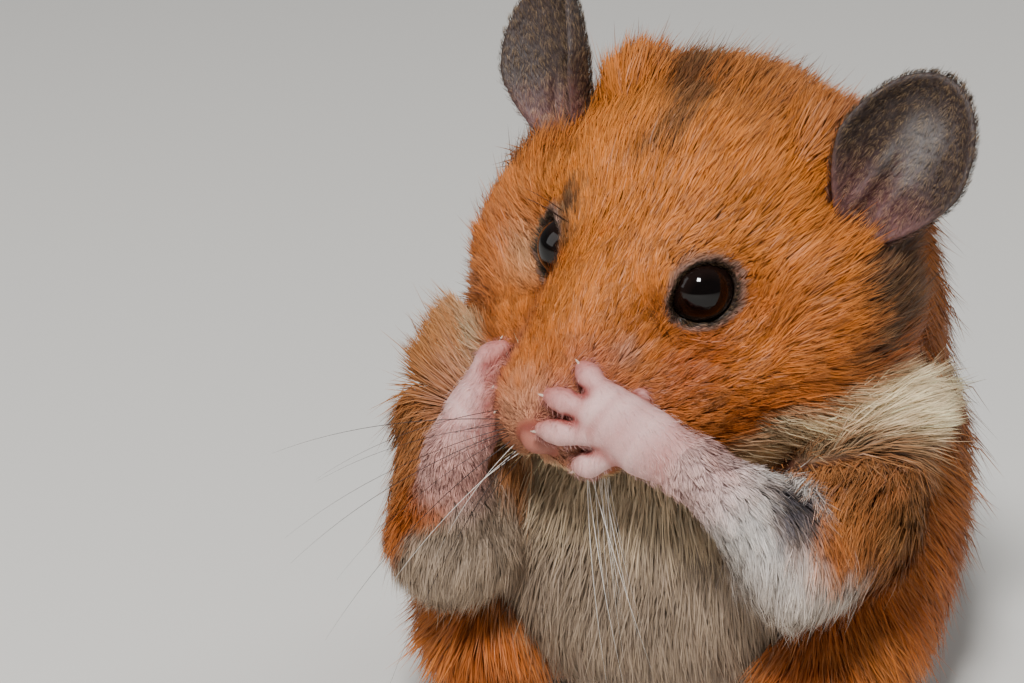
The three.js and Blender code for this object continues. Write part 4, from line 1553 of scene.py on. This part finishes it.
# %% Wet eye
# Tear film over a dark ball: nearly black, with a mirror's gloss.
wet_eye, shader = finish("wet_eye")
ahead = add(wet_eye, "ShaderNodeAttribute", {"attribute_name": "ahead"})
pupil = {"From Min": 0.72, "From Max": 0.88, "To Min": 1.0, "To Max": 0.25}
iris = add(wet_eye, "ShaderNodeMapRange", pupil, {"Value": ahead.outputs["Fac"]})
tint = add(wet_eye, "ShaderNodeVectorMath", {"operation": "SCALE", 0: tuple(linear("150b08"))},
           {"Scale": iris.outputs["Result"]})
join(wet_eye, tint.outputs["Vector"], shader, "Base Color")
shader.inputs["Roughness"].default_value = 0.06
shader.inputs["IOR"].default_value = 1.376  # of a cornea
print(wet_eye.name, "has", len(wet_eye.node_tree.nodes), "nodes")

# %% [markdown]
# ## Horn of claws and whiskers
#
# Claws are a clear, pale horn through which the quick shines a little pink. A whisker is the same
# stuff, drawn out, dark or nearly white. Horn grows in steps, which show as faint streaks.

# %% Horn of claws and whiskers
# Horn: smoother than hair, with a small clear gloss and streaks of growth.
HORNS = {  # colour, size in mm of its growth streaks, and roughness
    "claw_horn": ("d3b9a8", 0.4, 0.35),
    "dark_bristle": ("2a1d18", 2.5, 0.4),
    "pale_bristle": ("e9e2d8", 2.5, 0.4),
}
horns = {}
for name, (code, streak, rough) in HORNS.items():
    horns[name], shader = finish(name)
    streaks = add(horns[name], "ShaderNodeTexNoise", {"Scale": waves(streak), "Detail": 2.0})
    share = add(horns[name], "ShaderNodeMapRange", {"To Min": 0.65, "To Max": 1.3},
                {"Value": streaks.outputs["Fac"]})
    tint = add(horns[name], "ShaderNodeVectorMath", {"operation": "SCALE", 0: tuple(linear(code))},
               {"Scale": share.outputs["Result"]})
    join(horns[name], tint.outputs["Vector"], shader, "Base Color")
    shader.inputs["Roughness"].default_value = rough
print("horns", list(horns))

# %% [markdown]
# ## Giving out the finishes
#
# The skin is one mesh with two finishes. A face is bare if its first point lies mostly in a hand, a
# foot, an ear or the tail, or close about an eye or the nose.

# %% Giving out the finishes
skin.data.materials.append(furred)
skin.data.materials.append(bare)
starts = np.empty(len(skin.data.polygons), np.int32)
skin.data.polygons.foreach_get("loop_start", starts)
bare_parts = belongs[:, np.isin(PARTS, ["hand", "foot", "ear", "tail"])].sum(1) > 0.5
q = into_head(skin_points)
bare_parts |= length_of(q - np.array(NOSE[0])) < 2.6
for side in SIDES.values():
    bare_parts |= length_of(q - np.array([side * EYE_ASIDE, 0, 0])) < EYE_RADIUS + 0.9
skin.data.polygons.foreach_set("material_index", bare_parts[loop_points[starts]].astype(np.int32))
claws.data.materials.append(horns["claw_horn"])
whiskers_dark.data.materials.append(horns["dark_bristle"])
whiskers_pale.data.materials.append(horns["pale_bristle"])
for piece in eyeballs:
    piece.data.materials.append(wet_eye)
for piece in coat:
    piece.data.materials.append(hair)
print("points of bare skin:", int(bare_parts.sum()), "of", len(bare_parts))

# %% [markdown]
# ## What rides on what
#
# The model is still, so every piece rides on the one body. The skin stands for all the solids of
# flesh and for the whiskers packed with the head, and the eyeballs for theirs.

# %% Riding and replacing
FLESH = [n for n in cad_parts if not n.startswith("eye_")]
riders = [(skin, "golden_coat"), (claws, "claw"), (whiskers_dark, "whisker"), (whiskers_pale, "whisker")]
riders += [(e, "eye") for e in eyeballs]
riders += [(c, c["slot"]) for c in coat]
for piece, slot in riders:
    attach(piece, "root")
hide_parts(*FLESH)
for eyeball, name in zip(eyeballs, SIDES):
    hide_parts("eye_" + name)
print("pieces", len(riders))

# %% [markdown]
# ## Floor and light
#
# A plain pale floor, a small soft lamp high in front, a weak wide one from the other side, and one
# behind for the rim of the coat, as in a small studio. The world fills the shadows evenly. A large
# key lamp would wash out the locks of the coat, which need a light that rakes over them.

# %% Floor and lamps
bpy.ops.mesh.primitive_plane_add(size=4)
floor = bpy.context.object
floor.name = "floor"
# Matt paper: it takes a soft shadow and gives a little light back to the belly.
pale_paper, shader = finish("pale_paper")
shader.inputs["Base Color"].default_value = rgba(linear("d8d5cf"))
shader.inputs["Roughness"].default_value = 0.9
floor.data.materials.append(pale_paper)


def lamp(name, place, size, power):
    light = bpy.data.lights.new(name, "AREA")
    light.size = size
    light.energy = power
    holder = bpy.data.objects.new(name, light)
    holder.location = place
    holder.rotation_euler = (Vector(place) - Vector((0, 0, 0.04))).to_track_quat("Z", "Y").to_euler()
    bpy.context.scene.collection.objects.link(holder)


lamp("key", (0.07, -0.47, 0.6), 0.13, 8.0)
lamp("fill", (-0.5, -0.3, 0.35), 0.4, 1.0)
lamp("rim", (0.3, 0.45, 0.5), 0.3, 1.2)
world = bpy.data.worlds.new("studio")
bpy.context.scene.world = world
world.use_nodes = True
world.node_tree.nodes["Background"].inputs["Color"].default_value = rgba(linear("d5d8dc"))
world.node_tree.nodes["Background"].inputs["Strength"].default_value = 0.2
